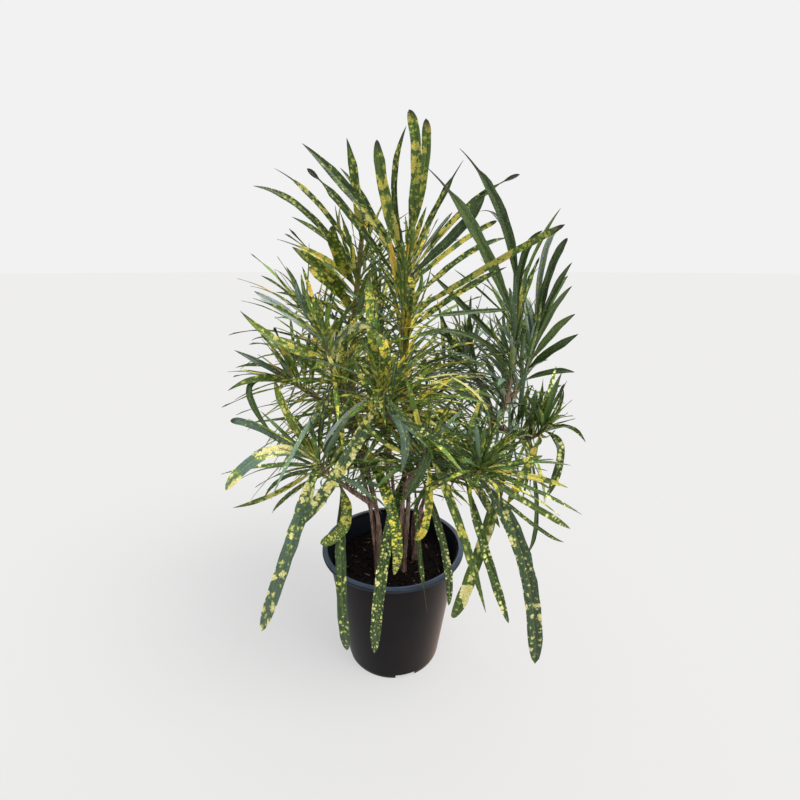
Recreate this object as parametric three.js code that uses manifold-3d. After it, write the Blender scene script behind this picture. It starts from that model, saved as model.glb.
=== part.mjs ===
// A potted croton: four branched woody stems with narrow, gold-spotted leaves, in a round nursery pot.
// Millimetres, +Z up, the front towards -Y. The origin is the centre of the pot's flat underside.
import * as THREE from "three";
import { mergeVertices } from "three/addons/utils/BufferGeometryUtils.js";
import Module from "manifold-3d";

const wasm = await Module();
wasm.setup();

// --- Driving dimensions ---------------------------------------------------------------------------

const POT = {
  height: 174,
  rimRadius: 100,
  lipWidth: 7.5,
  lipHeight: 5,
  wallTopRadius: 92,
  footRadius: 67,
  wall: 2.2,
  floor: 3,
  edge: 1.2, // how far its edges are rounded off
  corner: 2, // and its inner corner at the floor
  sides: 40,
};
const DRAIN = { count: 4, width: 28, height: 6, innerRadius: 52, outerRadius: 76, firstTurn: -75 };
const SOIL = { top: 143, mound: 4, unevenness: 1.6, rings: [72, 56, 38, 20] };
const GAP = 0.3; // clearance between pieces that touch
const STEM_FOOT = 95; // height of the stems' lower ends, in the soil
const STEM_FOOT_TOP = 154; // up to where they stand straight
const STEM_RISE = 150; // where their curves begin, just above the soil
const STEM_SIDES = 5;
const TRUNK = { radii: [5.6, 3.2], steps: 9 }; // radius at the foot and at the top, stretches along it
const BRANCH = { radii: [3.6, 2], steps: 4 };

const BLADE = {
  rootHalfWidth: 1.5,
  keelBase: 0.5, // depth of the keel under the blade, and its share of the width
  keelShare: 0.06,
  twist: 25, // degrees from the root to the tip
};
const FEATURE_STATIONS = [0, 0.12, 0.36, 0.64, 0.88]; // sections along a blade, which then ends in its tip
const FILLER_STATIONS = [0, 0.15, 0.45, 0.8];
const FRONT = new THREE.Vector3(0, -0.96, 0.29); // the way that the singly placed leaves face

const GOLDEN_ANGLE = 137.5; // degrees from one leaf to the next round a stem
const CLEAR = { share: 0.5, margin: 1.2 }; // distance kept between leaves of different stems
const SAME_STEM_CLEAR = 5; // and between leaves of one stem, away from their roots
const POT_CLEARANCE = 10;
const BOTTOM = { height: 238, slope: 0.45 }; // the lowest that a row's leaves hang, and its rise to the front
const REACH = { x: 205, y: 195, top: 640 };
const STRIDE = 2.5; // one leaf of a shoot's full row in so many is made as a solid
const SPREAD = { turn: 30, open: 18, roll: 80 }; // degrees over which the leaves of a row vary
const RETRY = { count: 8, turn: 37, close: 3, shorten: 0.05 }; // how a leaf in the way is moved

// --- Shoots ---------------------------------------------------------------------------------------
// Each shoot belongs to a stem and follows a curve through hand-placed points. Its leaves grow
// between the shares `from` and `to` of its length, `count` in all, and open out further down.

const SHOOTS = [
  {
    name: "left", stem: "stem_left", trunk: true,
    points: [[-20, -32, STEM_RISE], [-20, -32, 195], [-25, -28, 250], [-48, -10, 346], [-54, 0, 396],
      [-46, 12, 500], [-36, 20, 587]],
    leaves: { from: 0.6, to: 0.95, count: 34, length: 135, width: 6.3, open: [40, 85], droop: 0.2 },
  },
  {
    name: "left_mid", stem: "stem_left",
    points: [[-48, -10, 346], [-76, -15, 378], [-105, -20, 403], [-126, -25, 420]],
    leaves: { from: 0.2, to: 1, count: 36, length: 120, width: 5.25, open: [35, 85], droop: 0.22 },
  },
  {
    name: "left_low", stem: "stem_left",
    points: [[-25, -28, 250], [-48, -50, 281], [-70, -75, 315], [-86, -95, 346]],
    leaves: { from: 0.35, to: 1, count: 30, length: 120, width: 5.6, open: [35, 95], droop: 0.3 },
  },
  {
    name: "left_front", stem: "stem_left",
    points: [[-52, -5, 372], [-61, -40, 410], [-69, -60, 448], [-74, -70, 482]],
    leaves: { from: 0.3, to: 1, count: 34, length: 120, width: 5.95, open: [35, 85], droop: 0.22 },
  },
  {
    name: "left_back", stem: "stem_left",
    points: [[-54, 0, 396], [-82, 50, 426], [-110, 90, 462], [-131, 110, 495]],
    leaves: { from: 0.3, to: 1, count: 32, length: 140, width: 6.3, open: [30, 85], droop: 0.25 },
  },
  {
    name: "centre", stem: "stem_centre", trunk: true,
    points: [[14, -22, STEM_RISE], [14, -22, 195], [16, -22, 256], [20, -15, 334], [16, -8, 395],
      [14, -3, 478], [18, 0, 570]],
    leaves: { from: 0.55, to: 0.96, count: 40, length: 140, width: 6.3, open: [35, 85], droop: 0.2 },
  },
  {
    name: "centre_front", stem: "stem_centre",
    points: [[20, -15, 334], [7, -50, 368], [-8, -85, 404], [-16, -105, 436]],
    leaves: { from: 0.25, to: 1, count: 36, length: 125, width: 5.95, open: [35, 90], droop: 0.25 },
  },
  {
    name: "centre_low", stem: "stem_centre",
    points: [[16, -21, 270], [24, -55, 304], [33, -85, 336], [41, -105, 367]],
    leaves: { from: 0.45, to: 1, count: 24, length: 110, width: 5.6, open: [35, 95], droop: 0.3 },
  },
  {
    name: "right", stem: "stem_right", trunk: true,
    points: [[32, 2, STEM_RISE], [32, 2, 190], [44, 2, 248], [90, 5, 305], [136, 8, 350],
      [155, 15, 416], [159, 20, 512]],
    leaves: { from: 0.64, to: 0.98, count: 36, length: 140, width: 5.95, open: [30, 85], droop: 0.18 },
  },
  {
    name: "right_outer", stem: "stem_right",
    points: [[145, 10, 376], [169, 25, 396], [186, 40, 430], [194, 50, 465]],
    leaves: { from: 0.25, to: 1, count: 30, length: 120, width: 5.95, open: [30, 80], droop: 0.2 },
  },
  {
    name: "rosette", stem: "stem_right",
    points: [[64, 4, 279], [78, -40, 298], [89, -80, 319], [97, -112, 342]],
    leaves: { from: 0.45, to: 1, count: 40, length: 110, width: 4.9, open: [30, 90], droop: 0.22 },
  },
  {
    name: "right_low", stem: "stem_right",
    points: [[136, 8, 350], [155, -20, 346], [169, -45, 352], [182, -60, 369]],
    leaves: { from: 0.3, to: 1, count: 30, length: 110, width: 5.6, open: [35, 90], droop: 0.28 },
  },
  {
    name: "right_back", stem: "stem_right",
    points: [[136, 8, 350], [130, 50, 382], [115, 85, 405], [104, 105, 436]],
    leaves: { from: 0.3, to: 1, count: 32, length: 130, width: 5.95, open: [30, 85], droop: 0.25 },
  },
  {
    name: "back", stem: "stem_back", trunk: true,
    points: [[0, 34, STEM_RISE], [0, 34, 185], [-5, 50, 230], [-10, 75, 310], [-15, 95, 395],
      [-20, 110, 500]],
    leaves: { from: 0.5, to: 1, count: 44, length: 155, width: 7, open: [20, 90], droop: 0.25 },
  },
  {
    name: "back_left", stem: "stem_back",
    points: [[-10, 75, 310], [-48, 108, 345], [-82, 130, 375], [-105, 142, 410]],
    leaves: { from: 0.3, to: 1, count: 30, length: 135, width: 6.3, open: [25, 95], droop: 0.35 },
  },
  {
    name: "back_right", stem: "stem_back",
    points: [[-10, 75, 310], [34, 112, 340], [70, 136, 370], [92, 146, 405]],
    leaves: { from: 0.3, to: 1, count: 30, length: 135, width: 6.3, open: [25, 95], droop: 0.35 },
  },
];

// --- Leaves placed one by one ---------------------------------------------------------------------
// Shoot, share of its length where the leaf grows, a point halfway along the leaf, its tip, its width.

const FEATURE_LEAVES = [
  // the tall upper leaves
  ["centre", 0.96, [-37, -8, 622], [-96, -12, 680], 12.5],
  ["left", 0.98, [-41, 10, 637], [-49, 0, 688], 11],
  ["centre", 0.96, [-7, -10, 626], [-15, -15, 683], 14],
  ["centre", 0.98, [4, 15, 640], [17, 20, 705], 8],
  ["centre", 0.92, [-46, -15, 608], [-90, -25, 653], 9],
  ["left", 0.94, [-83, 5, 620], [-130, -5, 657], 6.5],
  ["left", 0.9, [-93, -5, 608], [-149, -25, 636], 8],
  ["left", 0.92, [-80, 30, 585], [-124, 40, 611], 7],
  ["left", 0.88, [-78, -5, 560], [-130, -15, 582], 8],
  ["left", 0.86, [-80, -20, 550], [-109, -35, 573], 11],
  ["left", 0.84, [-70, -30, 533], [-90, -45, 552], 11],
  ["left", 0.88, [-58, -40, 564], [-57, -75, 592], 13],
  ["centre", 0.92, [-24, 30, 612], [-63, 45, 667], 8],
  ["centre", 1, [27, -20, 651], [19, -30, 707], 12],
  ["centre", 1, [36, 5, 649], [38, 0, 707], 11],
  ["centre", 0.96, [52, 15, 618], [83, 20, 670], 8],
  ["centre", 0.94, [88, 20, 617], [152, 30, 657], 8],
  ["centre", 0.94, [75, -10, 590], [103, -20, 628], 12],
  ["centre", 0.92, [77, 20, 576], [129, 35, 606], 6.5],
  ["centre", 0.86, [105, -30, 550], [184, -50, 595], 8],
  ["centre", 0.96, [56, 40, 593], [76, 55, 618], 5],
  ["centre", 0.88, [86, 28, 562], [145, 45, 587], 8],
  ["centre", 0.82, [74, -20, 520], [130, -30, 552], 8],
  // the plain arching leaves of the right stem
  ["right", 1, [129, 20, 614], [77, 10, 680], 13],
  ["right", 0.94, [100, -14, 582], [37, -45, 651], 15],
  ["right", 1, [172, 10, 571], [196, 5, 617], 5],
  ["right", 0.98, [156, 0, 562], [170, -20, 591], 9],
  ["right_outer", 0.94, [191, 40, 558], [205, 35, 594], 10],
  ["right_outer", 0.96, [197, 30, 542], [211, 15, 585], 10],
  ["right_outer", 0.88, [200, 20, 518], [214, 0, 557], 8],
  ["right_outer", 0.82, [214, 60, 509], [236, 70, 540], 9],
  ["right_outer", 0.72, [198, 10, 497], [213, -10, 530], 9],
  ["right", 1, [137, 30, 597], [104, 25, 615], 6],
  ["right", 0.88, [99, 25, 496], [48, 35, 545], 8],
  ["right", 0.98, [96, -10, 500], [40, -25, 496], 6],
  ["right", 0.86, [83, -5, 474], [19, -15, 466], 6],
  ["right_outer", 0.64, [208, 30, 469], [234, 25, 494], 11],
  ["right_outer", 0.56, [203, 15, 447], [231, 0, 472], 11],
  ["right_outer", 0.42, [207, 20, 419], [236, 10, 421], 8],
  ["right_back", 0.94, [83, 95, 449], [62, 90, 507], 8],
  ["right", 0.68, [106, -25, 397], [57, -40, 433], 5],
  // broad leaves that stand up in the middle
  ["centre_front", 0.97, [-5, -112, 464], [-15, -112, 490], 11],
  ["centre_front", 0.97, [-20, -102, 495], [-21, -100, 545], 11],
  ["centre", 0.82, [21, -38, 516], [22, -45, 546], 10],
  ["left", 0.83, [-56, -25, 520], [-62, -50, 538], 11],
  ["left_front", 0.3, [-53, -60, 452], [-53, -60, 488], 8],
  // the left side
  ["left_front", 0.76, [-112, -85, 473], [-154, -90, 509], 12],
  ["left_front", 0.92, [-112, -75, 507], [-141, -80, 528], 11],
  ["left_front", 0.96, [-96, -55, 512], [-105, -45, 539], 7],
  ["left", 0.82, [-96, 15, 512], [-143, 10, 522], 6],
  ["left", 0.8, [-94, 35, 495], [-141, 45, 505], 6],
  ["left_mid", 0.88, [-147, -35, 438], [-183, -40, 459], 7],
  ["left_mid", 0.8, [-156, 5, 430], [-204, 15, 426], 6],
  ["left_mid", 0.78, [-146, -50, 428], [-186, -65, 417], 9],
  ["left_mid", 0.96, [-163, -60, 420], [-128, -80, 359], 8],
  ["left_low", 0.96, [-108, -100, 394], [-123, -95, 436], 12],
  ["left_front", 0.68, [-43, -100, 491], [-12, -121, 494], 12],
  ["left_low", 0.84, [-143, -70, 369], [-187, -65, 381], 9],
  ["left_low", 0.92, [-124, -125, 368], [-168, -145, 334], 12.5],
  ["left_low", 0.88, [-136, -85, 298], [-188, -85, 279], 6],
  ["left_low", 0.82, [-130, -60, 307], [-160, -55, 275], 5],
  ["left_low", 0.76, [-112, -100, 308], [-134, -110, 287], 5],
  // the old leaves that hang in front of the pot
  ["left_low", 0.96, [-102, -135, 281], [-151, -135, 147], 16],
  ["centre_front", 0.82, [-47, -130, 359], [-94, -140, 291], 14],
  ["left_low", 0.58, [-53, -98, 269], [-81, -115, 251], 17],
  ["left_low", 0.52, [-58, -120, 212], [-54, -125, 109], 13],
  ["centre", 0.43, [-6, -112, 246], [-21, -124, 104], 14],
  ["left", 0.5, [0, -124, 303], [3, -128, 219], 12.5],
  ["centre_front", 0.74, [13, -135, 396], [11, -140, 351], 10],
  ["centre_low", 0.92, [72, -130, 290], [108, -135, 173], 10],
  ["centre_low", 0.96, [40, -120, 290], [26, -115, 257], 9],
  ["centre_low", 0.44, [33, -90, 227], [43, -110, 150], 6],
  ["centre_low", 0.58, [60, -115, 245], [67, -120, 170], 9],
  ["centre_low", 0.98, [34, -130, 352], [11, -135, 313], 10],
  ["rosette", 0.58, [106, -115, 245], [138, -125, 149], 11],
  ["right_low", 0.34, [101, -110, 232], [71, -125, 157], 15],
  ["rosette", 0.8, [150, -112, 235], [178, -115, 78], 19],
  // the right side, low down
  ["rosette", 0.96, [55, -138, 384], [10, -155, 412], 10],
  ["rosette", 0.92, [54, -105, 346], [6, -95, 350], 7],
  ["rosette", 0.92, [137, -120, 354], [162, -115, 359], 7],
  ["rosette", 0.94, [150, -110, 333], [197, -105, 316], 7],
  ["rosette", 0.84, [165, -105, 290], [210, -95, 257], 8],
  ["rosette", 0.8, [169, -80, 255], [215, -70, 222], 5],
  ["rosette", 0.66, [115, -60, 275], [136, -60, 236], 11],
  ["right_low", 0.94, [194, -80, 348], [180, -90, 296], 10],
  ["right_low", 0.62, [182, -55, 251], [173, -60, 198], 6],
  ["right_low", 0.96, [178, -70, 402], [188, -75, 441], 8],
  ["right_low", 0.9, [152, -90, 330], [133, -100, 294], 10],
];

// --- Helpers --------------------------------------------------------------------------------------

const radians = THREE.MathUtils.degToRad;
const UP = new THREE.Vector3(0, 0, 1);
const toVector = (point) => new THREE.Vector3(...point);

function solidOf(geometry) {
  const bare = geometry.clone();
  bare.deleteAttribute("normal");
  bare.deleteAttribute("uv");
  const merged = mergeVertices(bare, 1e-4);
  return new wasm.Manifold(
    new wasm.Mesh({
      numProp: 3,
      vertProperties: merged.getAttribute("position").array,
      triVerts: new Uint32Array(merged.index.array),
    }),
  );
}

function geometryOf(solid) {
  const mesh = solid.getMesh();
  const geometry = new THREE.BufferGeometry();
  geometry.setAttribute("position", new THREE.BufferAttribute(mesh.vertProperties, 3));
  geometry.setIndex(new THREE.BufferAttribute(mesh.triVerts, 1));
  geometry.computeVertexNormals();
  return geometry;
}

// A closed body of revolution about Z, from [radius, height] pairs that start and end on the axis.
function turned(profile, sides) {
  const geometry = new THREE.LatheGeometry(profile.map(([r, z]) => new THREE.Vector2(r, z)), sides);
  return geometry.rotateX(Math.PI / 2);
}

// A generator of numbers from 0 to 1 that gives the same row for the same seed.
function seededNumbers(seed) {
  const modulus = 2147483647;
  let state = (seed * 7919 + 12345) % modulus;
  return () => {
    state = (state * 48271) % modulus;
    return state / modulus;
  };
}

// --- Pot and soil ---------------------------------------------------------------------------------

const wallSlope = (POT.wallTopRadius - POT.footRadius) / (POT.height - POT.lipHeight);
const insideRadius = (z) => POT.footRadius - POT.wall + wallSlope * z;

function potGeometry() {
  const { height, rimRadius, lipWidth, lipHeight, wallTopRadius, footRadius } = POT;
  const { floor, edge, corner } = POT;
  const underLip = height - lipHeight;
  const opening = rimRadius - lipWidth;
  const profile = [
    [0, 0],
    [footRadius - edge, 0],
    [footRadius, edge],
    [wallTopRadius, underLip],
    [rimRadius - edge, underLip],
    [rimRadius, underLip + edge],
    [rimRadius, height - edge],
    [rimRadius - edge, height],
    [opening + edge, height],
    [opening, height - edge],
    [insideRadius(underLip), underLip - edge],
    [insideRadius(floor + corner), floor + corner],
    [insideRadius(floor) - corner, floor],
    [0, floor],
  ];
  let pot = solidOf(turned(profile, POT.sides));
  for (let i = 0; i < DRAIN.count; i += 1) {
    const depth = DRAIN.outerRadius - DRAIN.innerRadius;
    const slot = new THREE.BoxGeometry(depth, DRAIN.width, 2 * DRAIN.height);
    slot.translate((DRAIN.outerRadius + DRAIN.innerRadius) / 2, 0, 0);
    slot.rotateZ(radians(DRAIN.firstTurn + (i * 360) / DRAIN.count));
    pot = pot.subtract(solidOf(slot));
  }
  return geometryOf(pot);
}

function soilGeometry(trunks) {
  const bottom = POT.floor + GAP;
  const edge = insideRadius(SOIL.top) - GAP;
  const profile = [
    [0, bottom],
    [insideRadius(bottom) - POT.corner - 2 * GAP, bottom],
    [insideRadius(bottom + POT.corner) - 2 * GAP, bottom + POT.corner + 2 * GAP],
    [edge, SOIL.top],
    ...SOIL.rings.map((r) => [r, SOIL.top + SOIL.mound * (1 - r / edge)]),
    [0, SOIL.top + SOIL.mound],
  ];
  const geometry = turned(profile, POT.sides);
  const position = geometry.getAttribute("position");
  for (let i = 0; i < position.count; i += 1) {
    const [x, y, z] = [position.getX(i), position.getY(i), position.getZ(i)];
    if (z > SOIL.top + 0.1) {
      const bump = Math.sin(x * 0.23 + 1) * Math.cos(y * 0.19) + 0.5 * Math.sin(x * 0.11 - y * 0.31);
      position.setZ(i, z + SOIL.unevenness * bump);
    }
  }
  let soil = solidOf(geometry);
  for (const trunk of trunks) soil = soil.subtract(solidOf(footGeometry(trunk, GAP)));
  return geometryOf(soil);
}

// --- Woody stems ----------------------------------------------------------------------------------

const shootCurve = (shoot) =>
  new THREE.CatmullRomCurve3(shoot.points.map(toVector), false, "catmullrom", 0.5);

// The straight foot of a stem, or with a clearance the hole in which it stands.
function footGeometry(trunk, clearance) {
  const [x, y] = trunk.points[0];
  const radius = TRUNK.radii[0] + clearance;
  const length = STEM_FOOT_TOP - STEM_FOOT + 2 * clearance;
  const foot = new THREE.CylinderGeometry(radius, radius, length, STEM_SIDES);
  foot.rotateX(Math.PI / 2);
  return foot.translate(x, y, (STEM_FOOT + STEM_FOOT_TOP) / 2);
}

// A five-sided tube along a curve, drawn in towards the curve's end.
function tubeGeometry(curve, { radii, steps }) {
  const [footRadius, topRadius] = radii;
  const outline = new THREE.Shape();
  for (let i = 0; i < STEM_SIDES; i += 1) {
    const turn = (i * 2 * Math.PI) / STEM_SIDES;
    const [x, y] = [footRadius * Math.cos(turn), footRadius * Math.sin(turn)];
    if (i === 0) outline.moveTo(x, y);
    else outline.lineTo(x, y);
  }
  outline.closePath();
  const tube = new THREE.ExtrudeGeometry(outline, { steps, extrudePath: curve, bevelEnabled: false });
  const path = curve.getSpacedPoints(steps);
  const position = tube.getAttribute("position");
  const corner = new THREE.Vector3();
  for (let i = 0; i < position.count; i += 1) {
    corner.fromBufferAttribute(position, i);
    const distances = path.map((point) => point.distanceTo(corner));
    const nearest = distances.indexOf(Math.min(...distances));
    const scale = 1 + (topRadius / footRadius - 1) * (nearest / steps);
    corner.sub(path[nearest]).multiplyScalar(scale).add(path[nearest]);
    position.setXYZ(i, corner.x, corner.y, corner.z);
  }
  return tube;
}

// --- Leaves ---------------------------------------------------------------------------------------

function makeLeaf(shoot, base, middle, tip, width, stations) {
  const control = middle.clone().multiplyScalar(2).addScaledVector(base, -0.5).addScaledVector(tip, -0.5);
  const curve = new THREE.QuadraticBezierCurve3(base, control, tip);
  const line = [...stations, 1].map((t) => curve.getPoint(t));
  return { stem: shoot.stem, curve, width, stations, line };
}

// How wide a blade is at the share t of its length: a narrow stalk, a long strap and a short point.
function halfWidth(width, t) {
  const rise = THREE.MathUtils.smoothstep(t, 0.04, 0.35);
  const fall = Math.sqrt(Math.min(1, (1 - t) / 0.25));
  return Math.max(BLADE.rootHalfWidth * (1 - t), (width / 2) * (0.28 + 0.72 * rise) * fall);
}

// The sideways direction of a blade: singly placed leaves face the front, the others face up and in.
function bladeSide(leaf, tangent, before) {
  const side = leaf.level ? leaf.level.clone() : tangent.clone().cross(FRONT);
  if (side.length() < 0.3) side.copy(before);
  side.addScaledVector(tangent, -side.dot(tangent));
  return side.normalize();
}

function bladeSolid(leaf) {
  const corners = [];
  let side = new THREE.Vector3(1, 0, 0);
  for (const t of leaf.stations) {
    const centre = leaf.curve.getPoint(t);
    const tangent = leaf.curve.getTangent(t);
    side = bladeSide(leaf, tangent, side);
    const across = side.clone();
    across.applyAxisAngle(tangent, radians(leaf.roll + BLADE.twist * (t - 0.5)));
    const face = across.clone().cross(tangent);
    const half = halfWidth(leaf.width, t);
    const keel = BLADE.keelBase + BLADE.keelShare * leaf.width;
    corners.push(
      centre.clone().addScaledVector(across, half).addScaledVector(face, keel / 2),
      centre.clone().addScaledVector(face, -keel),
      centre.clone().addScaledVector(across, -half).addScaledVector(face, keel / 2),
    );
  }
  corners.push(leaf.curve.getPoint(1));
  const rings = leaf.stations.length;
  const tip = corners.length - 1;
  const faces = [0, 2, 1];
  for (let ring = 0; ring < rings; ring += 1) {
    for (let i = 0; i < 3; i += 1) {
      const a = 3 * ring + i;
      const b = 3 * ring + ((i + 1) % 3);
      if (ring < rings - 1) faces.push(a, b, b + 3, a, b + 3, a + 3);
      else faces.push(a, b, tip);
    }
  }
  return new wasm.Manifold(
    new wasm.Mesh({
      numProp: 3,
      vertProperties: new Float32Array(corners.flatMap((corner) => corner.toArray())),
      triVerts: new Uint32Array(faces),
    }),
  );
}

// The shortest distance between two straight stretches p1-q1 and p2-q2.
function stretchDistance(p1, q1, p2, q2) {
  const d1 = q1.clone().sub(p1);
  const d2 = q2.clone().sub(p2);
  const r = p1.clone().sub(p2);
  const a = d1.dot(d1);
  const e = d2.dot(d2);
  const f = d2.dot(r);
  const b = d1.dot(d2);
  const c = d1.dot(r);
  const denominator = a * e - b * b;
  let s = denominator > 1e-9 ? Math.min(1, Math.max(0, (b * f - c * e) / denominator)) : 0;
  let t = (b * s + f) / e;
  if (t < 0) {
    t = 0;
    s = Math.min(1, Math.max(0, -c / a));
  } else if (t > 1) {
    t = 1;
    s = Math.min(1, Math.max(0, (b - c) / a));
  }
  return r.addScaledVector(d1, s).addScaledVector(d2, -t).length();
}

// True where two lines of points stay `need` apart, from their stretch number `first` on.
function linesClear(one, other, need, first) {
  for (let i = first; i < one.line.length; i += 1) {
    for (let j = first; j < other.line.length; j += 1) {
      const distance = stretchDistance(one.line[i - 1], one.line[i], other.line[j - 1], other.line[j]);
      if (distance < need) return false;
    }
  }
  return true;
}

// Leaves and wood of different stems never touch, and leaves of one stem cross only near their roots.
function keepsClear(leaf, piece) {
  const sameStem = piece.stem === leaf.stem;
  if (sameStem && piece.tube) return true;
  if (sameStem) return linesClear(leaf, piece, SAME_STEM_CLEAR, 2);
  return linesClear(leaf, piece, (leaf.width + piece.width) * CLEAR.share + CLEAR.margin, 1);
}

function withinReach(leaf) {
  return leaf.line.every((point) => {
    const besidePot = Math.hypot(point.x, point.y) > POT.rimRadius + POT_CLEARANCE;
    const abovePot = point.z > POT.height + POT_CLEARANCE;
    const inBox = Math.abs(point.x) < REACH.x && Math.abs(point.y) < REACH.y && point.z < REACH.top;
    return (besidePot || abovePot) && inBox && point.z > BOTTOM.height - BOTTOM.slope * point.y;
  });
}

// One try at the leaf number `index` of a shoot. Later tries turn it, close it and shorten it.
function fillerLeaf(shoot, shootIndex, index, attempt) {
  const { from, to, count, length, width, open, droop } = shoot.leaves;
  const next = seededNumbers(1 + shootIndex * 1000 + index);
  const down = (index + 0.5) / count;
  const at = to - (to - from) * down;
  const turn = radians(index * GOLDEN_ANGLE + (next() - 0.5) * SPREAD.turn + attempt * RETRY.turn);
  const opened = open[0] + (open[1] - open[0]) * Math.pow(down, 0.7);
  const opening = radians(opened + (next() - 0.5) * SPREAD.open - attempt * RETRY.close);
  const grown = length * (0.8 + 0.4 * down) * (0.8 + 0.4 * next());
  const reach = grown * (1 - RETRY.shorten * attempt);
  const bladeWidth = width * (0.8 + 0.4 * next());
  const sag = reach * droop * (0.4 + 0.9 * down) * (0.6 + 0.8 * next());
  const roll = (next() - 0.5) * SPREAD.roll;
  const axis = shoot.curve.getTangent(at);
  const across = axis.clone().cross(new THREE.Vector3(0.6, 0.8, 0)).normalize();
  const other = axis.clone().cross(across);
  const outward = axis
    .clone()
    .multiplyScalar(Math.cos(opening))
    .addScaledVector(across, Math.sin(opening) * Math.cos(turn))
    .addScaledVector(other, Math.sin(opening) * Math.sin(turn));
  const base = shoot.curve.getPoint(at);
  const middle = base.clone().addScaledVector(outward, reach * 0.52).addScaledVector(UP, -sag * 0.15);
  const tip = base.clone().addScaledVector(outward, reach * 0.98).addScaledVector(UP, -sag);
  const leaf = makeLeaf(shoot, base, middle, tip, bladeWidth, FILLER_STATIONS);
  const level = new THREE.Vector3(tip.y - base.y, base.x - tip.x, 0);
  leaf.level = level.length() > 1 ? level.normalize() : new THREE.Vector3(1, 0, 0);
  leaf.roll = roll;
  return leaf;
}

// --- The plant ------------------------------------------------------------------------------------

for (const shoot of SHOOTS) {
  shoot.curve = shootCurve(shoot);
  const wood = shoot.trunk ? TRUNK : BRANCH;
  shoot.tube = tubeGeometry(shoot.curve, wood);
  shoot.line = shoot.curve.getPoints(wood.steps);
  shoot.width = 2 * wood.radii[0];
}

const shootNamed = (name) => SHOOTS.find((shoot) => shoot.name === name);
const leaves = FEATURE_LEAVES.map(([name, at, middle, tip, width]) => {
  const shoot = shootNamed(name);
  const base = shoot.curve.getPoint(at);
  const leaf = makeLeaf(shoot, base, toVector(middle), toVector(tip), width, FEATURE_STATIONS);
  leaf.roll = 0;
  return leaf;
});

function isClear(leaf) {
  return withinReach(leaf) && [...SHOOTS, ...leaves].every((piece) => keepsClear(leaf, piece));
}

SHOOTS.forEach((shoot, shootIndex) => {
  for (let kept = 0; Math.floor(kept * STRIDE) < shoot.leaves.count; kept += 1) {
    const index = Math.floor(kept * STRIDE);
    for (let attempt = 0; attempt < RETRY.count; attempt += 1) {
      const leaf = fillerLeaf(shoot, shootIndex, index, attempt);
      if (isClear(leaf)) {
        leaves.push(leaf);
        break;
      }
    }
  }
});

function stemGeometry(stem) {
  const shoots = SHOOTS.filter((shoot) => shoot.stem === stem);
  const foot = solidOf(footGeometry(shoots.find((shoot) => shoot.trunk), 0));
  const wood = shoots.map((shoot) => solidOf(shoot.tube)).reduce((sum, tube) => sum.add(tube), foot);
  const blades = leaves.filter((leaf) => leaf.stem === stem).map(bladeSolid);
  return geometryOf(blades.reduce((sum, blade) => sum.add(blade), wood));
}

// --- Scene graph ----------------------------------------------------------------------------------

const FINISHES = {
  pot: { color: 0x2a292c, roughness: 0.55, metalness: 0 },
  soil: { color: 0x1b1512, roughness: 1, metalness: 0 },
  spotted: { color: 0x5a7a2c, roughness: 0.5, metalness: 0 },
  plain: { color: 0x2f5626, roughness: 0.5, metalness: 0 },
};

function named(name, geometry, finish) {
  const mesh = new THREE.Mesh(geometry, new THREE.MeshStandardMaterial(finish));
  mesh.name = name;
  return mesh;
}

const plant = new THREE.Group();
const holder = new THREE.Group();
holder.add(named("pot", potGeometry(), FINISHES.pot));
holder.add(named("soil", soilGeometry(SHOOTS.filter((shoot) => shoot.trunk)), FINISHES.soil));
const foliage = new THREE.Group();
foliage.add(named("stem_left", stemGeometry("stem_left"), FINISHES.spotted));
foliage.add(named("stem_centre", stemGeometry("stem_centre"), FINISHES.spotted));
foliage.add(named("stem_right", stemGeometry("stem_right"), FINISHES.plain));
foliage.add(named("stem_back", stemGeometry("stem_back"), FINISHES.plain));
plant.add(holder, foliage);

export default plant;
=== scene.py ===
# The looks of a potted croton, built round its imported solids. Leaves, bark, soil and pot are finer
# pieces that keep the form of the solids they stand for. The tables and sizes are in millimetres, in
# the part's own frame (+Z up, the front towards -Y), and every mesh is in metres.
import math
from collections import namedtuple
from contextlib import contextmanager

import bpy
import numpy as np
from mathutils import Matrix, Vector
from mathutils.bvhtree import BVHTree


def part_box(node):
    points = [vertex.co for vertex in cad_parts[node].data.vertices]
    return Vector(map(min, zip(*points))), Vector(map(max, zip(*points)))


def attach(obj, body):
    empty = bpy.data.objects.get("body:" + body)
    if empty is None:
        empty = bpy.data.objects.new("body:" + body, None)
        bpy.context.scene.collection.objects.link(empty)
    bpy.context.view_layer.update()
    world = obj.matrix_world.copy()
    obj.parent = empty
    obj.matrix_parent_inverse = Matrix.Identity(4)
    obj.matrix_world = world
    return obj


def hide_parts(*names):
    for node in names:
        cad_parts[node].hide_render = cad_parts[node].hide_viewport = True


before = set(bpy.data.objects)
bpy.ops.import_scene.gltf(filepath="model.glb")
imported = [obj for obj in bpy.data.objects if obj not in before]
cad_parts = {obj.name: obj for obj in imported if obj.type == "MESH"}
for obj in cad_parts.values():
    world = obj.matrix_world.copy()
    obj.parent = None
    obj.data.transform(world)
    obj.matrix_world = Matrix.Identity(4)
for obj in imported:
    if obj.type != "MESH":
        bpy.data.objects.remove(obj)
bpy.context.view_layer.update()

MM = 0.001

# --- Sizes of the pot and the soil, in millimetres --------------------------------------------------

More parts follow.
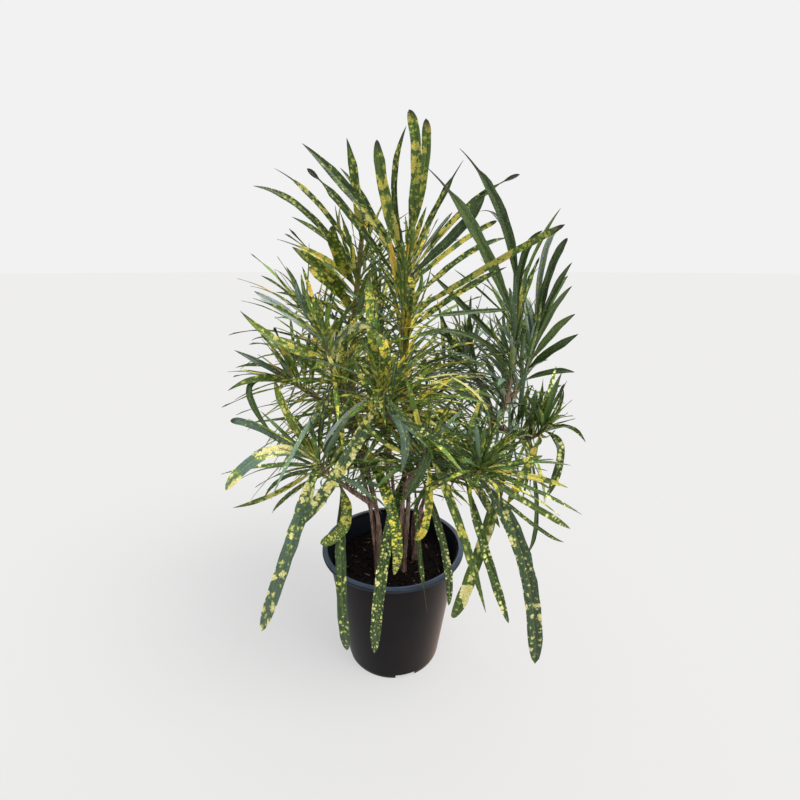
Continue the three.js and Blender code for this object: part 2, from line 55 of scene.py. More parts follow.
RIM_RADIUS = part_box("pot")[1].x / MM
POT_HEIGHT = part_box("pot")[1].z / MM
POT_SIDES = 128
LIP_WIDTH = 7.5
LIP_HEIGHT = 5
WALL_TOP_RADIUS = 92
FOOT_RADIUS = 67
WALL = 2.2
FLOOR = 3
UNDER_LIP = POT_HEIGHT - LIP_HEIGHT
OPENING = RIM_RADIUS - LIP_WIDTH
DRAIN = {"count": 4, "width": 28, "height": 6, "inner": 52, "outer": 76, "first_turn": -75}
SOIL_TOP = 143
SOIL_MOUND = 4
SOIL_SIDES = 64
SOIL_RINGS = 18
GAP = 0.3  # between the soil and the pot

# --- Shoots and their rows of leaves ----------------------------------------------------------------
# A shoot follows a curve through listed points. Its row of leaves grows between two shares of its
# length and opens out further down.

Row = namedtuple("Row", "start end count length width open droop mix")
Shoot = namedtuple("Shoot", "name stem points leaves")

SHOOTS = [
    Shoot("left", "stem_left",
          [(-20, -32, 150), (-20, -32, 195), (-25, -28, 250), (-48, -10, 346), (-54, 0, 396),
           (-46, 12, 500), (-36, 20, 587)],
          Row(0.6, 0.95, 34, 135, 6.3, (40, 85), 0.2, "gold")),
    Shoot("left_mid", "stem_left",
          [(-48, -10, 346), (-76, -15, 378), (-105, -20, 403), (-126, -25, 420)],
          Row(0.2, 1, 36, 120, 5.25, (35, 85), 0.22, "gold")),
    Shoot("left_low", "stem_left",
          [(-25, -28, 250), (-48, -50, 281), (-70, -75, 315), (-86, -95, 346)],
          Row(0.35, 1, 30, 120, 5.6, (35, 95), 0.3, "low")),
    Shoot("left_front", "stem_left",
          [(-52, -5, 372), (-61, -40, 410), (-69, -60, 448), (-74, -70, 482)],
          Row(0.3, 1, 34, 120, 5.95, (35, 85), 0.22, "gold")),
    Shoot("left_back", "stem_left",
          [(-54, 0, 396), (-82, 50, 426), (-110, 90, 462), (-131, 110, 495)],
          Row(0.3, 1, 32, 140, 6.3, (30, 85), 0.25, "gold")),
    Shoot("centre", "stem_centre",
          [(14, -22, 150), (14, -22, 195), (16, -22, 256), (20, -15, 334), (16, -8, 395),
           (14, -3, 478), (18, 0, 570)],
          Row(0.55, 0.96, 40, 140, 6.3, (35, 85), 0.2, "gold")),
    Shoot("centre_front", "stem_centre",
          [(20, -15, 334), (7, -50, 368), (-8, -85, 404), (-16, -105, 436)],
          Row(0.25, 1, 36, 125, 5.95, (35, 90), 0.25, "gold")),
    Shoot("centre_low", "stem_centre",
          [(16, -21, 270), (24, -55, 304), (33, -85, 336), (41, -105, 367)],
          Row(0.45, 1, 24, 110, 5.6, (35, 95), 0.3, "low")),
    Shoot("right", "stem_right",
          [(32, 2, 150), (32, 2, 190), (44, 2, 248), (90, 5, 305), (136, 8, 350), (155, 15, 416),
           (159, 20, 512)],
          Row(0.64, 0.98, 36, 140, 5.95, (30, 85), 0.18, "plain")),
    Shoot("right_outer", "stem_right",
          [(145, 10, 376), (169, 25, 396), (186, 40, 430), (194, 50, 465)],
          Row(0.25, 1, 30, 120, 5.95, (30, 80), 0.2, "plain")),
    Shoot("rosette", "stem_right",
          [(64, 4, 279), (78, -40, 298), (89, -80, 319), (97, -112, 342)],
          Row(0.45, 1, 40, 110, 4.9, (30, 90), 0.22, "low")),
    Shoot("right_low", "stem_right",
          [(136, 8, 350), (155, -20, 346), (169, -45, 352), (182, -60, 369)],
          Row(0.3, 1, 30, 110, 5.6, (35, 90), 0.28, "low")),
    Shoot("right_back", "stem_right",
          [(136, 8, 350), (130, 50, 382), (115, 85, 405), (104, 105, 436)],
          Row(0.3, 1, 32, 130, 5.95, (30, 85), 0.25, "plain")),
    Shoot("back", "stem_back",
          [(0, 34, 150), (0, 34, 185), (-5, 50, 230), (-10, 75, 310), (-15, 95, 395), (-20, 110, 500)],
          Row(0.5, 1, 44, 155, 7, (20, 90), 0.25, "gold")),
    Shoot("back_left", "stem_back",
          [(-10, 75, 310), (-48, 108, 345), (-82, 130, 375), (-105, 142, 410)],
          Row(0.3, 1, 30, 135, 6.3, (25, 95), 0.35, "gold")),
    Shoot("back_right", "stem_back",
          [(-10, 75, 310), (34, 112, 340), (70, 136, 370), (92, 146, 405)],
          Row(0.3, 1, 30, 135, 6.3, (25, 95), 0.35, "low")),
]

# Leaves placed one by one: shoot, share of its length where the leaf grows, a point halfway along the
# leaf, its tip, its width, its marking and, where it isn't a plain point, its end.
FEATURE_LEAVES = [
    # the tall upper leaves
    ("centre", 0.96, (-37, -8, 622), (-96, -12, 680), 12.5, "dark"),
    ("left", 0.98, (-41, 10, 637), (-49, 0, 688), 11, "dark"),
    ("centre", 0.96, (-7, -10, 626), (-15, -15, 683), 14, "pale", "round"),
    ("centre", 0.98, (4, 15, 640), (17, 20, 705), 8, "dark"),
    ("centre", 0.92, (-46, -15, 608), (-90, -25, 653), 9, "dark", "paddle"),
    ("left", 0.94, (-83, 5, 620), (-130, -5, 657), 6.5, "spotted", "thread"),
    ("left", 0.9, (-93, -5, 608), (-149, -25, 636), 8, "green"),
    ("left", 0.92, (-80, 30, 585), (-124, 40, 611), 7, "green"),
    ("left", 0.88, (-78, -5, 560), (-130, -15, 582), 8, "ochre", "thread"),
    ("left", 0.86, (-80, -20, 550), (-109, -35, 573), 11, "olive"),
    ("left", 0.84, (-70, -30, 533), (-90, -45, 552), 11, "ochre", "round"),
    ("left", 0.88, (-58, -40, 564), (-57, -75, 592), 13, "ochre", "round"),
    ("centre", 0.92, (-24, 30, 612), (-63, 45, 667), 8, "green"),
    ("centre", 1, (27, -20, 651), (19, -30, 707), 12, "banded", "blunt"),
    ("centre", 1, (36, 5, 649), (38, 0, 707), 11, "banded", "blunt"),
    ("centre", 0.96, (52, 15, 618), (83, 20, 670), 8, "dark", "thread"),
    ("centre", 0.94, (88, 20, 617), (152, 30, 657), 8, "spotted", "paddle"),
    ("centre", 0.94, (75, -10, 590), (103, -20, 628), 12, "plain"),
    ("centre", 0.92, (77, 20, 576), (129, 35, 606), 6.5, "ochre", "blunt"),
    ("centre", 0.86, (105, -30, 550), (184, -50, 595), 8, "banded", "blunt"),
    ("centre", 0.96, (56, 40, 593), (76, 55, 618), 5, "plain"),
    ("centre", 0.88, (86, 28, 562), (145, 45, 587), 8, "spotted"),
    ("centre", 0.82, (74, -20, 520), (130, -30, 552), 8, "spotted"),
    # the plain arching leaves of the right stem
    ("right", 1, (129, 20, 614), (77, 10, 680), 13, "plain", "thread"),
    ("right", 0.94, (100, -14, 582), (37, -45, 651), 15, "plain", "thread"),
    ("right", 1, (172, 10, 571), (196, 5, 617), 5, "plain"),
    ("right", 0.98, (156, 0, 562), (170, -20, 591), 9, "plain"),
    ("right_outer", 0.94, (191, 40, 558), (205, 35, 594), 10, "silver"),
    ("right_outer", 0.96, (197, 30, 542), (211, 15, 585), 10, "plain", "round"),
    ("right_outer", 0.88, (200, 20, 518), (214, 0, 557), 8, "plain"),
    ("right_outer", 0.82, (214, 60, 509), (236, 70, 540), 9, "plain"),
    ("right_outer", 0.72, (198, 10, 497), (213, -10, 530), 9, "plain"),
    ("right", 1, (137, 30, 597), (104, 25, 615), 6, "silver", "thread"),
    ("right", 0.88, (99, 25, 496), (48, 35, 545), 8, "plain"),
    ("right", 0.98, (96, -10, 500), (40, -25, 496), 6, "plain"),
    ("right", 0.86, (83, -5, 474), (19, -15, 466), 6, "plain"),
    ("right_outer", 0.64, (208, 30, 469), (234, 25, 494), 11, "plain"),
    ("right_outer", 0.56, (203, 15, 447), (231, 0, 472), 11, "plain"),
    ("right_outer", 0.42, (207, 20, 419), (236, 10, 421), 8, "plain"),
    ("right_back", 0.94, (83, 95, 449), (62, 90, 507), 8, "spotted"),
    ("right", 0.68, (106, -25, 397), (57, -40, 433), 5, "yellow"),
    # broad leaves that stand up in the middle
    ("centre_front", 0.97, (-5, -112, 464), (-15, -112, 490), 11, "goldbars", "round"),
    ("centre_front", 0.97, (-20, -102, 495), (-21, -100, 545), 11, "limebars", "round"),
    ("centre", 0.82, (21, -38, 516), (22, -45, 546), 10, "goldbars", "round"),
    ("left", 0.83, (-56, -25, 520), (-62, -50, 538), 11, "ochre", "round"),
    ("left_front", 0.3, (-53, -60, 452), (-53, -60, 488), 8, "limebars", "round"),
    # the left side
    ("left_front", 0.76, (-112, -85, 473), (-154, -90, 509), 12, "lime"),
    ("left_front", 0.92, (-112, -75, 507), (-141, -80, 528), 11, "silver"),
    ("left_front", 0.96, (-96, -55, 512), (-105, -45, 539), 7, "sheen"),
    ("left", 0.82, (-96, 15, 512), (-143, 10, 522), 6, "spotted"),
    ("left", 0.8, (-94, 35, 495), (-141, 45, 505), 6, "green"),
    ("left_mid", 0.88, (-147, -35, 438), (-183, -40, 459), 7, "sheen"),
    ("left_mid", 0.8, (-156, 5, 430), (-204, 15, 426), 6, "golden"),
    ("left_mid", 0.78, (-146, -50, 428), (-186, -65, 417), 9, "green"),
    ("left_mid", 0.96, (-163, -60, 420), (-128, -80, 359), 8, "plain"),
    ("left_low", 0.96, (-108, -100, 394), (-123, -95, 436), 12, "lime", "round"),
    ("left_front", 0.68, (-43, -100, 491), (-12, -121, 494), 12, "sage"),
    ("left_low", 0.84, (-143, -70, 369), (-187, -65, 381), 9, "sheen", "blunt"),
    ("left_low", 0.92, (-124, -125, 368), (-168, -145, 334), 12.5, "cream", "blunt"),
    ("left_low", 0.88, (-136, -85, 298), (-188, -85, 279), 6, "yellow"),
    ("left_low", 0.82, (-130, -60, 307), (-160, -55, 275), 5, "green"),
    ("left_low", 0.76, (-112, -100, 308), (-134, -110, 287), 5, "green"),
    # the old leaves that hang in front of the pot
    ("left_low", 0.96, (-102, -135, 281), (-151, -135, 147), 16, "hanging", "blunt"),
    ("centre_front", 0.82, (-47, -130, 359), (-94, -140, 291), 14, "creamspots", "round"),
    ("left_low", 0.58, (-53, -98, 269), (-81, -115, 251), 17, "barred", "blunt"),
    ("left_low", 0.52, (-58, -120, 212), (-54, -125, 109), 13, "plaindots", "blunt"),
    ("centre", 0.43, (-6, -112, 246), (-21, -124, 104), 14, "dotted", "blunt"),
    ("left", 0.5, (0, -124, 303), (3, -128, 219), 12.5, "goldbars", "round"),
    ("centre_front", 0.74, (13, -135, 396), (11, -140, 351), 10, "sheen"),
    ("centre_low", 0.92, (72, -130, 290), (108, -135, 173), 10, "spotted"),
    ("centre_low", 0.96, (40, -120, 290), (26, -115, 257), 9, "goldbars", "round"),
    ("centre_low", 0.44, (33, -90, 227), (43, -110, 150), 6, "dotted", "thread"),
    ("centre_low", 0.58, (60, -115, 245), (67, -120, 170), 9, "dotted", "round"),
    ("centre_low", 0.98, (34, -130, 352), (11, -135, 313), 10, "plain"),
    ("rosette", 0.58, (106, -115, 245), (138, -125, 149), 11, "dotted", "round"),
    ("right_low", 0.34, (101, -110, 232), (71, -125, 157), 15, "patched", "round"),
    ("rosette", 0.8, (150, -112, 235), (178, -115, 78), 19, "blotched", "blunt"),
    # the right side, low down
    ("rosette", 0.96, (55, -138, 384), (10, -155, 412), 10, "dotted"),
    ("rosette", 0.92, (54, -105, 346), (6, -95, 350), 7, "plain"),
    ("rosette", 0.92, (137, -120, 354), (162, -115, 359), 7, "yellow"),
    ("rosette", 0.94, (150, -110, 333), (197, -105, 316), 7, "yellow"),
    ("rosette", 0.84, (165, -105, 290), (210, -95, 257), 8, "dotted"),
    ("rosette", 0.8, (169, -80, 255), (215, -70, 222), 5, "green"),
    ("rosette", 0.66, (115, -60, 275), (136, -60, 236), 11, "green"),
    ("right_low", 0.94, (194, -80, 348), (180, -90, 296), 10, "dotted", "round"),
    ("right_low", 0.62, (182, -55, 251), (173, -60, 198), 6, "plain"),
    ("right_low", 0.96, (178, -70, 402), (188, -75, 441), 8, "plain"),
    ("right_low", 0.9, (152, -90, 330), (133, -100, 294), 10, "goldbars", "round"),
]

# Slight leaves that the solids leave out, placed in the same way.
SLIGHT_LEAVES = [
    ("rosette", 0.96, (102, -110, 406), (49, -110, 450), 2.8, "straw"),
    ("centre_front", 0.9, (-52, -120, 400), (-70, -128, 372), 5, "silver"),
    ("left_front", 0.5, (-37, -95, 472), (-19, -108, 467), 6, "goldbars"),
    ("centre_front", 0.62, (-25, -118, 438), (-37, -122, 472), 6, "yellow"),
    ("centre_front", 0.55, (2, -115, 437), (8, -118, 474), 6, "green"),
    ("left_low", 0.9, (-73, -105, 396), (-57, -110, 436), 6, "spotted"),
    ("left_low", 0.85, (-59, -110, 392), (-39, -118, 427), 6, "dotted"),
    ("centre_low", 0.9, (25, -115, 410), (15, -118, 448), 6, "yellow"),
    ("centre_low", 0.85, (10, -115, 394), (-5, -122, 432), 6, "green"),
    ("left_front", 0.15, (-52, -85, 444), (-51, -90, 476), 8, "limebars"),
    ("centre_front", 0.4, (-17, -100, 400), (-23, -118, 435), 6, "golden"),
    ("centre_low", 0.75, (-11, -112, 376), (-29, -118, 409), 5, "yellow"),
    ("left_front", 0.4, (-59, -92, 445), (-68, -96, 470), 5, "straw"),
    ("centre", 0.88, (1, -30, 561), (-3, -38, 590), 8, "amber"),
    ("centre", 0.72, (19, -44, 500), (20, -48, 532), 8, "amber"),
]

# --- How leaves grow --------------------------------------------------------------------------------

STEM_RISE = 150
TRUNK_RADII = (5.6, 3.2)
BRANCH_RADII = (3.6, 2.0)
TRUNK_STEPS = 9
BRANCH_STEPS = 4
FEATURE_STATIONS = (0, 0.12, 0.36, 0.64, 0.88, 1)
FILLER_STATIONS = (0, 0.15, 0.45, 0.8, 1)
FRONT = np.array((0, -0.96, 0.29))  # the way that the singly placed leaves face
UP = np.array((0, 0, 1.0))
TWIST = 25  # degrees from the root of a blade to its tip
GOLDEN_ANGLE = 137.5
STRIDE = 2.5  # one leaf of a row in so many is in the solids too
TURN_SPREAD, OPEN_SPREAD, ROLL_SPREAD = 30, 18, 80  # degrees between the leaves of a row at most
LEAST_AND_MORE = (0.8, 0.4)  # the least share of a row's length and width, and what chance adds
DOWNWARD = (0.8, 0.4)  # the length at the top of a row as a share, and what is added towards its foot
DROOP_DOWN, DROOP_CHANCE = (0.4, 0.9), (0.6, 0.8)  # the same of how far its leaves droop
OPENING_POWER = 0.7  # how soon the leaves of a row open out towards its foot
MIDDLE_AT, TIP_AT = 0.52, 0.98  # of a leaf's reach
MIDDLE_SAG = 0.15  # of how far its tip droops
TRIES = 8
NEXT_TURN, NEXT_CLOSING, NEXT_SHORTENING = 37, 3, 0.05  # how each try at a leaf differs from the last
POT_CLEARANCE = 10
BOTTOM, BOTTOM_SLOPE = 238, 0.45  # the lowest that a row's leaves hang, and its rise to the front
REACH = (205, 195, 640)  # how far aside, forward or back, and up the leaves of a row go
SOLID_ROOM = {"share": 0.5, "margin": 1.2, "same": 5}  # distances kept between the solids' leaves
DENSE_ROOM = {"share": 0.2, "margin": 0.6, "same": 1.6}  # by the leaves added between them
SLENDER_ROOM = {"share": 0.12, "margin": 0.4, "same": 1.2}  # and by the slender ones
SHOWN_STATIONS = np.linspace(0.35, 1, 14)  # where a shown leaf mustn't be covered
PASSING_STATIONS = np.linspace(0.1, 1, 12)  # by these places of a later leaf
DENSE_STEP = {"left_mid": 2, "left_back": 2}  # thin rows take only one added leaf in so many
SLENDER_LENGTH, SLENDER_WIDTH = 0.82, 4.8
SLENDER_OPEN = (25, 100)
SLENDER_START, SLENDER_LEAST = 0.15, 0.12  # how far below the row they start, and the least share
SLENDER_STRAY = (0.07, 0.15)  # of a slender leaf's middle and tip, as shares of its length
SLENDER_COUNT = {  # slender leaves for each leaf of a shoot's row
    "left": 2.2, "left_mid": 0.4, "left_low": 0.6, "left_front": 0.8, "left_back": 0.5, "centre": 2.4,
    "centre_front": 1.6, "centre_low": 1.6, "right": 1.6, "right_outer": 1.6, "rosette": 1.6,
    "right_low": 1.6, "right_back": 1.2, "back": 1.1, "back_left": 1.0, "back_right": 1.1,
}
YOUNG_LEAVES = 7  # small leaves at the tip of each shoot
YOUNG_LENGTH = (34, 34, 12)  # of the first, and how much is added by place and by chance
YOUNG_WIDTH = (4.5, 2)
YOUNG_OPEN = (6, 30)
YOUNG_TURN = 20  # degrees by which chance turns a young leaf at most
YOUNG_STEP = 0.02  # share of the shoot from one young leaf to the next
TAIL_DROP = 20  # a leaf of a row whose tip hangs further down than this has a plain point
THREADS, PADDLES = 0.45, 0.75  # of the others, the picks from which leaves have each kind of end
ROW_SEED, SLENDER_SEED, YOUNG_SEED, FEATURE_SEED, SLIGHT_SEED = 1, 200001, 50000, 900, 800

# How each marking looks: the share of the blade in yellow, the size of its spots, how far the yellow
# leans to gold, how far the green leans to blue and grey (below zero: to lime), how much the yellow thins
# out towards the tip, how dull the yellow is, and how far the spots are drawn out along the blade.
# The blue and grey of the markings are partly the blades' own bluish green and partly a painted reflection of
# the sky.
Marking = namedtuple("Marking", "share size warm cool fade dull drawn")
MARKINGS = {
    "spotted": Marking(0.34, 5.0, 0.30, 0.05, 0.8, 0.45, 1.6),
    "dark": Marking(0.26, 4.5, 0.25, 0.00, 0.9, 0.70, 1.9),
    "pale": Marking(0.48, 7.0, 0.35, 0.00, 0.9, 0.65, 1.5),
    "golden": Marking(0.55, 6.0, 0.70, 0.00, 0.9, 0.15, 1.4),
    "ochre": Marking(0.62, 5.0, 0.55, -0.25, 0.5, 0.50, 1.6),
    "goldbars": Marking(0.62, 5.0, 0.55, -0.10, 0.3, 0.00, 0.7),
    "limebars": Marking(0.42, 3.6, 0.40, -0.10, 0.2, 0.50, 0.8),
    "yellow": Marking(0.48, 5.5, 0.30, -0.15, 0.8, 0.20, 1.5),
    "lime": Marking(0.46, 4.2, 0.25, -0.55, 0.2, 0.40, 1.8),
    "green": Marking(0.14, 4.0, 0.20, 0.05, 0.8, 0.50, 1.6),
    "plain": Marking(0.002, 4.0, 0.10, 0.12, 0.0, 0.50, 1.0),
    # sheen and silver: blades whose blue-grey and pale grey are partly a painted reflection of the sky
    "sheen": Marking(0.06, 4.0, 0.05, 0.65, 0.5, 0.40, 1.5),
    "silver": Marking(0.16, 3.0, 0.00, 0.95, 0.3, 0.60, 2.0),
    "sage": Marking(0.66, 6.0, 0.00, 0.70, 0.3, 0.25, 2.6),
    "straw": Marking(0.92, 9.0, 0.10, 0.00, 0.0, 0.50, 2.0),
    "banded": Marking(0.54, 7.0, 0.50, 0.05, 0.2, 0.80, 0.75),
    "hanging": Marking(0.50, 6.5, -0.20, 0.40, 0.3, 0.15, 1.3),
    "cream": Marking(0.76, 7.5, -0.35, 0.70, 0.0, 0.25, 3.0),
    "creamspots": Marking(0.54, 5.5, 0.12, 0.30, 0.4, 0.05, 0.8),
    "barred": Marking(0.40, 3.0, 0.30, -0.20, 0.0, 0.10, 0.6),
    "dotted": Marking(0.12, 4.8, 0.00, 0.05, -0.3, 0.00, 1.1),
    "blotched": Marking(0.19, 8.0, -0.10, 0.22, -0.5, 0.00, 1.2),
    "patched": Marking(0.62, 8.0, 0.10, -0.05, 0.3, 0.00, 1.2),
    "olive": Marking(0.50, 6.0, 0.35, -0.40, 0.4, 0.70, 1.6),
    "plaindots": Marking(0.07, 8.0, 0.10, 0.14, -0.2, 0.00, 1.2),
    "amber": Marking(0.60, 5.0, 0.80, -0.10, 0.3, 0.40, 1.8),
}
# How many leaves of a row have each marking.
MIXES = {
    "gold": {"spotted": 5, "golden": 3, "yellow": 3, "green": 3, "sheen": 2, "straw": 1, "dark": 1},
    "plain": {"plain": 4, "green": 2, "sheen": 5, "silver": 3, "spotted": 1},
    "low": {"dotted": 3, "green": 4, "yellow": 3, "plain": 3, "sheen": 2},
    "young": {"yellow": 3, "golden": 2, "green": 3},
}


def unit(vector):
    return vector / np.linalg.norm(vector)


def smooth(t, low, high):
    """0 below low, 1 above high and smooth between them."""
    share = np.clip((t - low) / (high - low), 0, 1)
    return share * share * (3 - 2 * share)


def seeded_numbers(seed):
    """A row of numbers from 0 to 1, the same for the same seed."""
    modulus = 2147483647
    state = (seed * 7919 + 12345) % modulus
    while True:
        state = state * 48271 % modulus
        yield state / modulus


def raised(least_and_more, share):
    """A least amount and a share of what is added to it."""
    return least_and_more[0] + least_and_more[1] * share


def shoot_point(shoot, share):
    """The point at a share of the smooth curve through a shoot's points."""
    points = [np.array(point, float) for point in shoot.points]
    last = len(points) - 1
    place = share * last
    i = min(int(place), last - 1)
    w = place - i
    before = points[i - 1] if i > 0 else 2 * points[0] - points[1]
    after = points[i + 2] if i + 2 <= last else 2 * points[last] - points[last - 1]
    start, end = points[i], points[i + 1]
    leave, arrive = (end - before) / 2, (after - start) / 2
    bend = -3 * start + 3 * end - 2 * leave - arrive
    return start + leave * w + bend * w**2 + (2 * start - 2 * end + leave + arrive) * w**3


def shoot_heading(shoot, share):
    step = 0.0001
    return unit(shoot_point(shoot, min(1, share + step)) - shoot_point(shoot, max(0, share - step)))


class Leaf:
    """A blade along a bent line from its base on a shoot to its tip."""

    def __init__(self, shoot, base, middle, tip, width, stations):
        self.shoot, self.stem = shoot, shoot.stem
        self.base, self.tip, self.width = base, tip, width
        self.control = 2 * middle - base / 2 - tip / 2
        self.line = self.points(np.array(stations, float))
        self.level, self.roll = None, 0.0
        self.marking, self.pick, self.end = "green", 0.5, "point"

    def points(self, t):
        t = np.asarray(t)[:, None]
        return (1 - t) ** 2 * self.base + 2 * (1 - t) * t * self.control + t**2 * self.tip

    def headings(self, t):
        t = np.asarray(t)[:, None]
        along = (1 - t) * (self.control - self.base) + t * (self.tip - self.control)
        return along / np.linalg.norm(along, axis=1)[:, None]

    def length(self):
        line = self.points(np.linspace(0, 1, 9))
        return float(np.linalg.norm(np.diff(line, axis=0), axis=1).sum())


class Room:
    """The straight stretches of all wood and leaves so far, to keep new leaves clear of."""

    def __init__(self):
        self.starts, self.ends = np.zeros((0, 3)), np.zeros((0, 3))
        self.widths, self.numbers = np.zeros(0), np.zeros(0)
        self.stems, self.wood = np.zeros(0, int), np.zeros(0, bool)
        self.shown = []

    def add(self, line, width, stem, wood=False):
        count = len(line) - 1
        self.starts = np.vstack((self.starts, line[:-1]))
        self.ends = np.vstack((self.ends, line[1:]))
        self.widths = np.append(self.widths, np.full(count, width))
        self.numbers = np.append(self.numbers, np.arange(1, count + 1))
        self.stems = np.append(self.stems, np.full(count, STEMS.index(stem)))
        self.wood = np.append(self.wood, np.full(count, wood))

    def show(self, leaf):
        """Notes a leaf that later leaves shouldn't cover in the view."""
        places, depth = in_view(leaf.points(SHOWN_STATIONS))
        self.shown.append(np.column_stack((places, depth, (leaf.width / 2 + 1) / depth)))

    def hides(self, leaf):
        """True where a leaf passes in front of one of the shown leaves."""
        places, depth = in_view(leaf.points(PASSING_STATIONS))
        shown = np.vstack(self.shown)
        apart = np.linalg.norm(places[:, None] - shown[None, :, :2], axis=2)
        covered = (apart < shown[None, :, 3]) & (depth[:, None] < shown[None, :, 2] - 2)
        return bool(covered.any())

    def is_clear(self, leaf, keep):
        """True where a leaf keeps away from all other stems, and past its root from its own stem's leaves."""
        distance = stretch_distances(leaf.line[:-1], leaf.line[1:], self.starts, self.ends)
        same = self.stems == STEMS.index(leaf.stem)
        needed = (leaf.width + self.widths) * keep["share"] + keep["margin"]
        if (distance[:, ~same] < needed[~same]).any():
            return False
        near = same & ~self.wood & (self.numbers >= 2)
        return not (distance[1:, near] < keep["same"]).any()


def in_view(points):
    """How far aside and up points lie in the view, as shares of their depth, and that depth."""
    pitch = math.radians(CAMERA_PITCH)
    ahead = np.array((0, math.cos(pitch), -math.sin(pitch)))
    above = np.array((0, math.sin(pitch), math.cos(pitch)))
    away = points - np.array(CAMERA_PLACE) / MM
    depth = away @ ahead
    return np.column_stack((away[:, 0], away @ above)) / depth[:, None], depth


def stretch_distances(p1, q1, p2, q2):
    """The shortest distance between each straight stretch p1-q1 and each p2-q2."""
    p1, q1, p2, q2 = p1[:, None], q1[:, None], p2[None], q2[None]
    d1, d2, r = q1 - p1, q2 - p2, p1 - p2
    a, b, c = (d1 * d1).sum(-1), (d1 * d2).sum(-1), (d1 * r).sum(-1)
    e, f = (d2 * d2).sum(-1), (d2 * r).sum(-1)
    across = a * e - b * b
    s = np.where(across > 1e-9, np.clip((b * f - c * e) / np.maximum(across, 1e-9), 0, 1), 0)
    t = (b * s + f) / e
    s = np.where(t < 0, np.clip(-c / a, 0, 1), np.where(t > 1, np.clip((b - c) / a, 0, 1), s))
    t = np.clip(t, 0, 1)
    return np.linalg.norm(r + d1 * s[..., None] - d2 * t[..., None], axis=-1)


def within_reach(leaf):
    x, y, z = leaf.line.T
    clear_of_pot = (np.hypot(x, y) > RIM_RADIUS + POT_CLEARANCE) | (z > POT_HEIGHT + POT_CLEARANCE)
    inside = (abs(x) < REACH[0]) & (abs(y) < REACH[1]) & (z < REACH[2])
    return bool((clear_of_pot & inside & (z > BOTTOM - BOTTOM_SLOPE * y)).all())


def filler_leaf(shoot, row, first_seed, index, attempt):
    """One try at a leaf of a shoot's row. Later tries turn it, close it and shorten it."""
    number = seeded_numbers(first_seed + SHOOTS.index(shoot) * 1000 + index)
    down = (index + 0.5) / row.count
    at = row.end - (row.end - row.start) * down
    turn = index * GOLDEN_ANGLE + (next(number) - 0.5) * TURN_SPREAD + attempt * NEXT_TURN
    opened = row.open[0] + (row.open[1] - row.open[0]) * down**OPENING_POWER
    opening = opened + (next(number) - 0.5) * OPEN_SPREAD - attempt * NEXT_CLOSING
    grown = row.length * raised(DOWNWARD, down) * raised(LEAST_AND_MORE, next(number))
    reach = grown * (1 - NEXT_SHORTENING * attempt)
    width = row.width * raised(LEAST_AND_MORE, next(number))
    sag = reach * row.droop * raised(DROOP_DOWN, down) * raised(DROOP_CHANCE, next(number))
    roll = (next(number) - 0.5) * ROLL_SPREAD
    outward = opened_out(shoot_heading(shoot, at), math.radians(opening), math.radians(turn))
    base = shoot_point(shoot, at)
    middle = base + outward * reach * MIDDLE_AT - UP * sag * MIDDLE_SAG
    tip = base + outward * reach * TIP_AT - UP * sag
    if first_seed == SLENDER_SEED:
        middle += stray(number, SLENDER_STRAY[0] * reach)
        tip += stray(number, SLENDER_STRAY[1] * reach)
    leaf = Leaf(shoot, base, middle, tip, width, FILLER_STATIONS)
    leaf.roll = roll
    dress(leaf, number, row.mix)
    return leaf


def stray(number, most):
    """A draw of how far a point strays, at most so far along each axis."""
    return np.array([(2 * next(number) - 1) * most for _ in range(3)])


def opened_out(heading, opening, turn):
    """A direction that leans out from a heading by one angle, turned round it by another."""
    across = unit(np.cross(heading, (0.6, 0.8, 0)))
    other = np.cross(heading, across)
    sideways = across * math.cos(turn) + other * math.sin(turn)
    return heading * math.cos(opening) + sideways * math.sin(opening)


def dress(leaf, number, mix):
    """The level side of a leaf of a row, and its marking."""
    away = leaf.tip - leaf.base
    level = np.array((away[1], -away[0], 0))
    leaf.level = unit(level) if np.linalg.norm(level) > 1 else np.array((1.0, 0, 0))
    choice = [marking for marking, count in MIXES[mix].items() for _ in range(count)]
    leaf.marking = choice[int(next(number) * len(choice))]
    leaf.pick = next(number)
    if leaf.tip[2] > leaf.base[2] - TAIL_DROP and leaf.pick > THREADS:
        leaf.end = "thread" if leaf.pick < PADDLES else "paddle"


def young_leaf(shoot, index):
    """One of the small upright leaves at the tip of a shoot."""
    number = seeded_numbers(YOUNG_SEED + SHOOTS.index(shoot) * 100 + index)
    least, by_place, by_chance = YOUNG_LENGTH
    reach = least + by_place * index / YOUNG_LEAVES + by_chance * next(number)
    opening = math.radians(YOUNG_OPEN[0] + YOUNG_OPEN[1] * index / YOUNG_LEAVES)
    turn = math.radians(index * GOLDEN_ANGLE + YOUNG_TURN * next(number))
    at = 1 - YOUNG_STEP * index
    outward = opened_out(shoot_heading(shoot, at), opening, turn)
    base = shoot_point(shoot, at)
    middle = base + outward * reach * 0.5 + UP * reach * 0.03
    width = raised(YOUNG_WIDTH, next(number))
    leaf = Leaf(shoot, base, middle, base + outward * reach, width, FILLER_STATIONS)
    dress(leaf, number, "young")
    return leaf


def placed_leaf(leaf_row, seed):
    name, share, middle, tip, width, marking, *end = leaf_row
    shoot = SHOOT_NAMED[name]
    middle, tip = np.array(middle, float), np.array(tip, float)
    leaf = Leaf(shoot, shoot_point(shoot, share), middle, tip, width, FEATURE_STATIONS)
    leaf.marking, leaf.pick = marking, next(seeded_numbers(seed))
    if end:
        leaf.end = end[0]
    return leaf


def place_leaves(room, leaf_rows, first_seed):
    """The leaves of a table. Leaves that grow later keep clear of them."""
    leaves = [placed_leaf(leaf_row, first_seed + place) for place, leaf_row in enumerate(leaf_rows)]
    for leaf in leaves:
        room.add(leaf.line, leaf.width, leaf.stem)
        room.show(leaf)
    return leaves


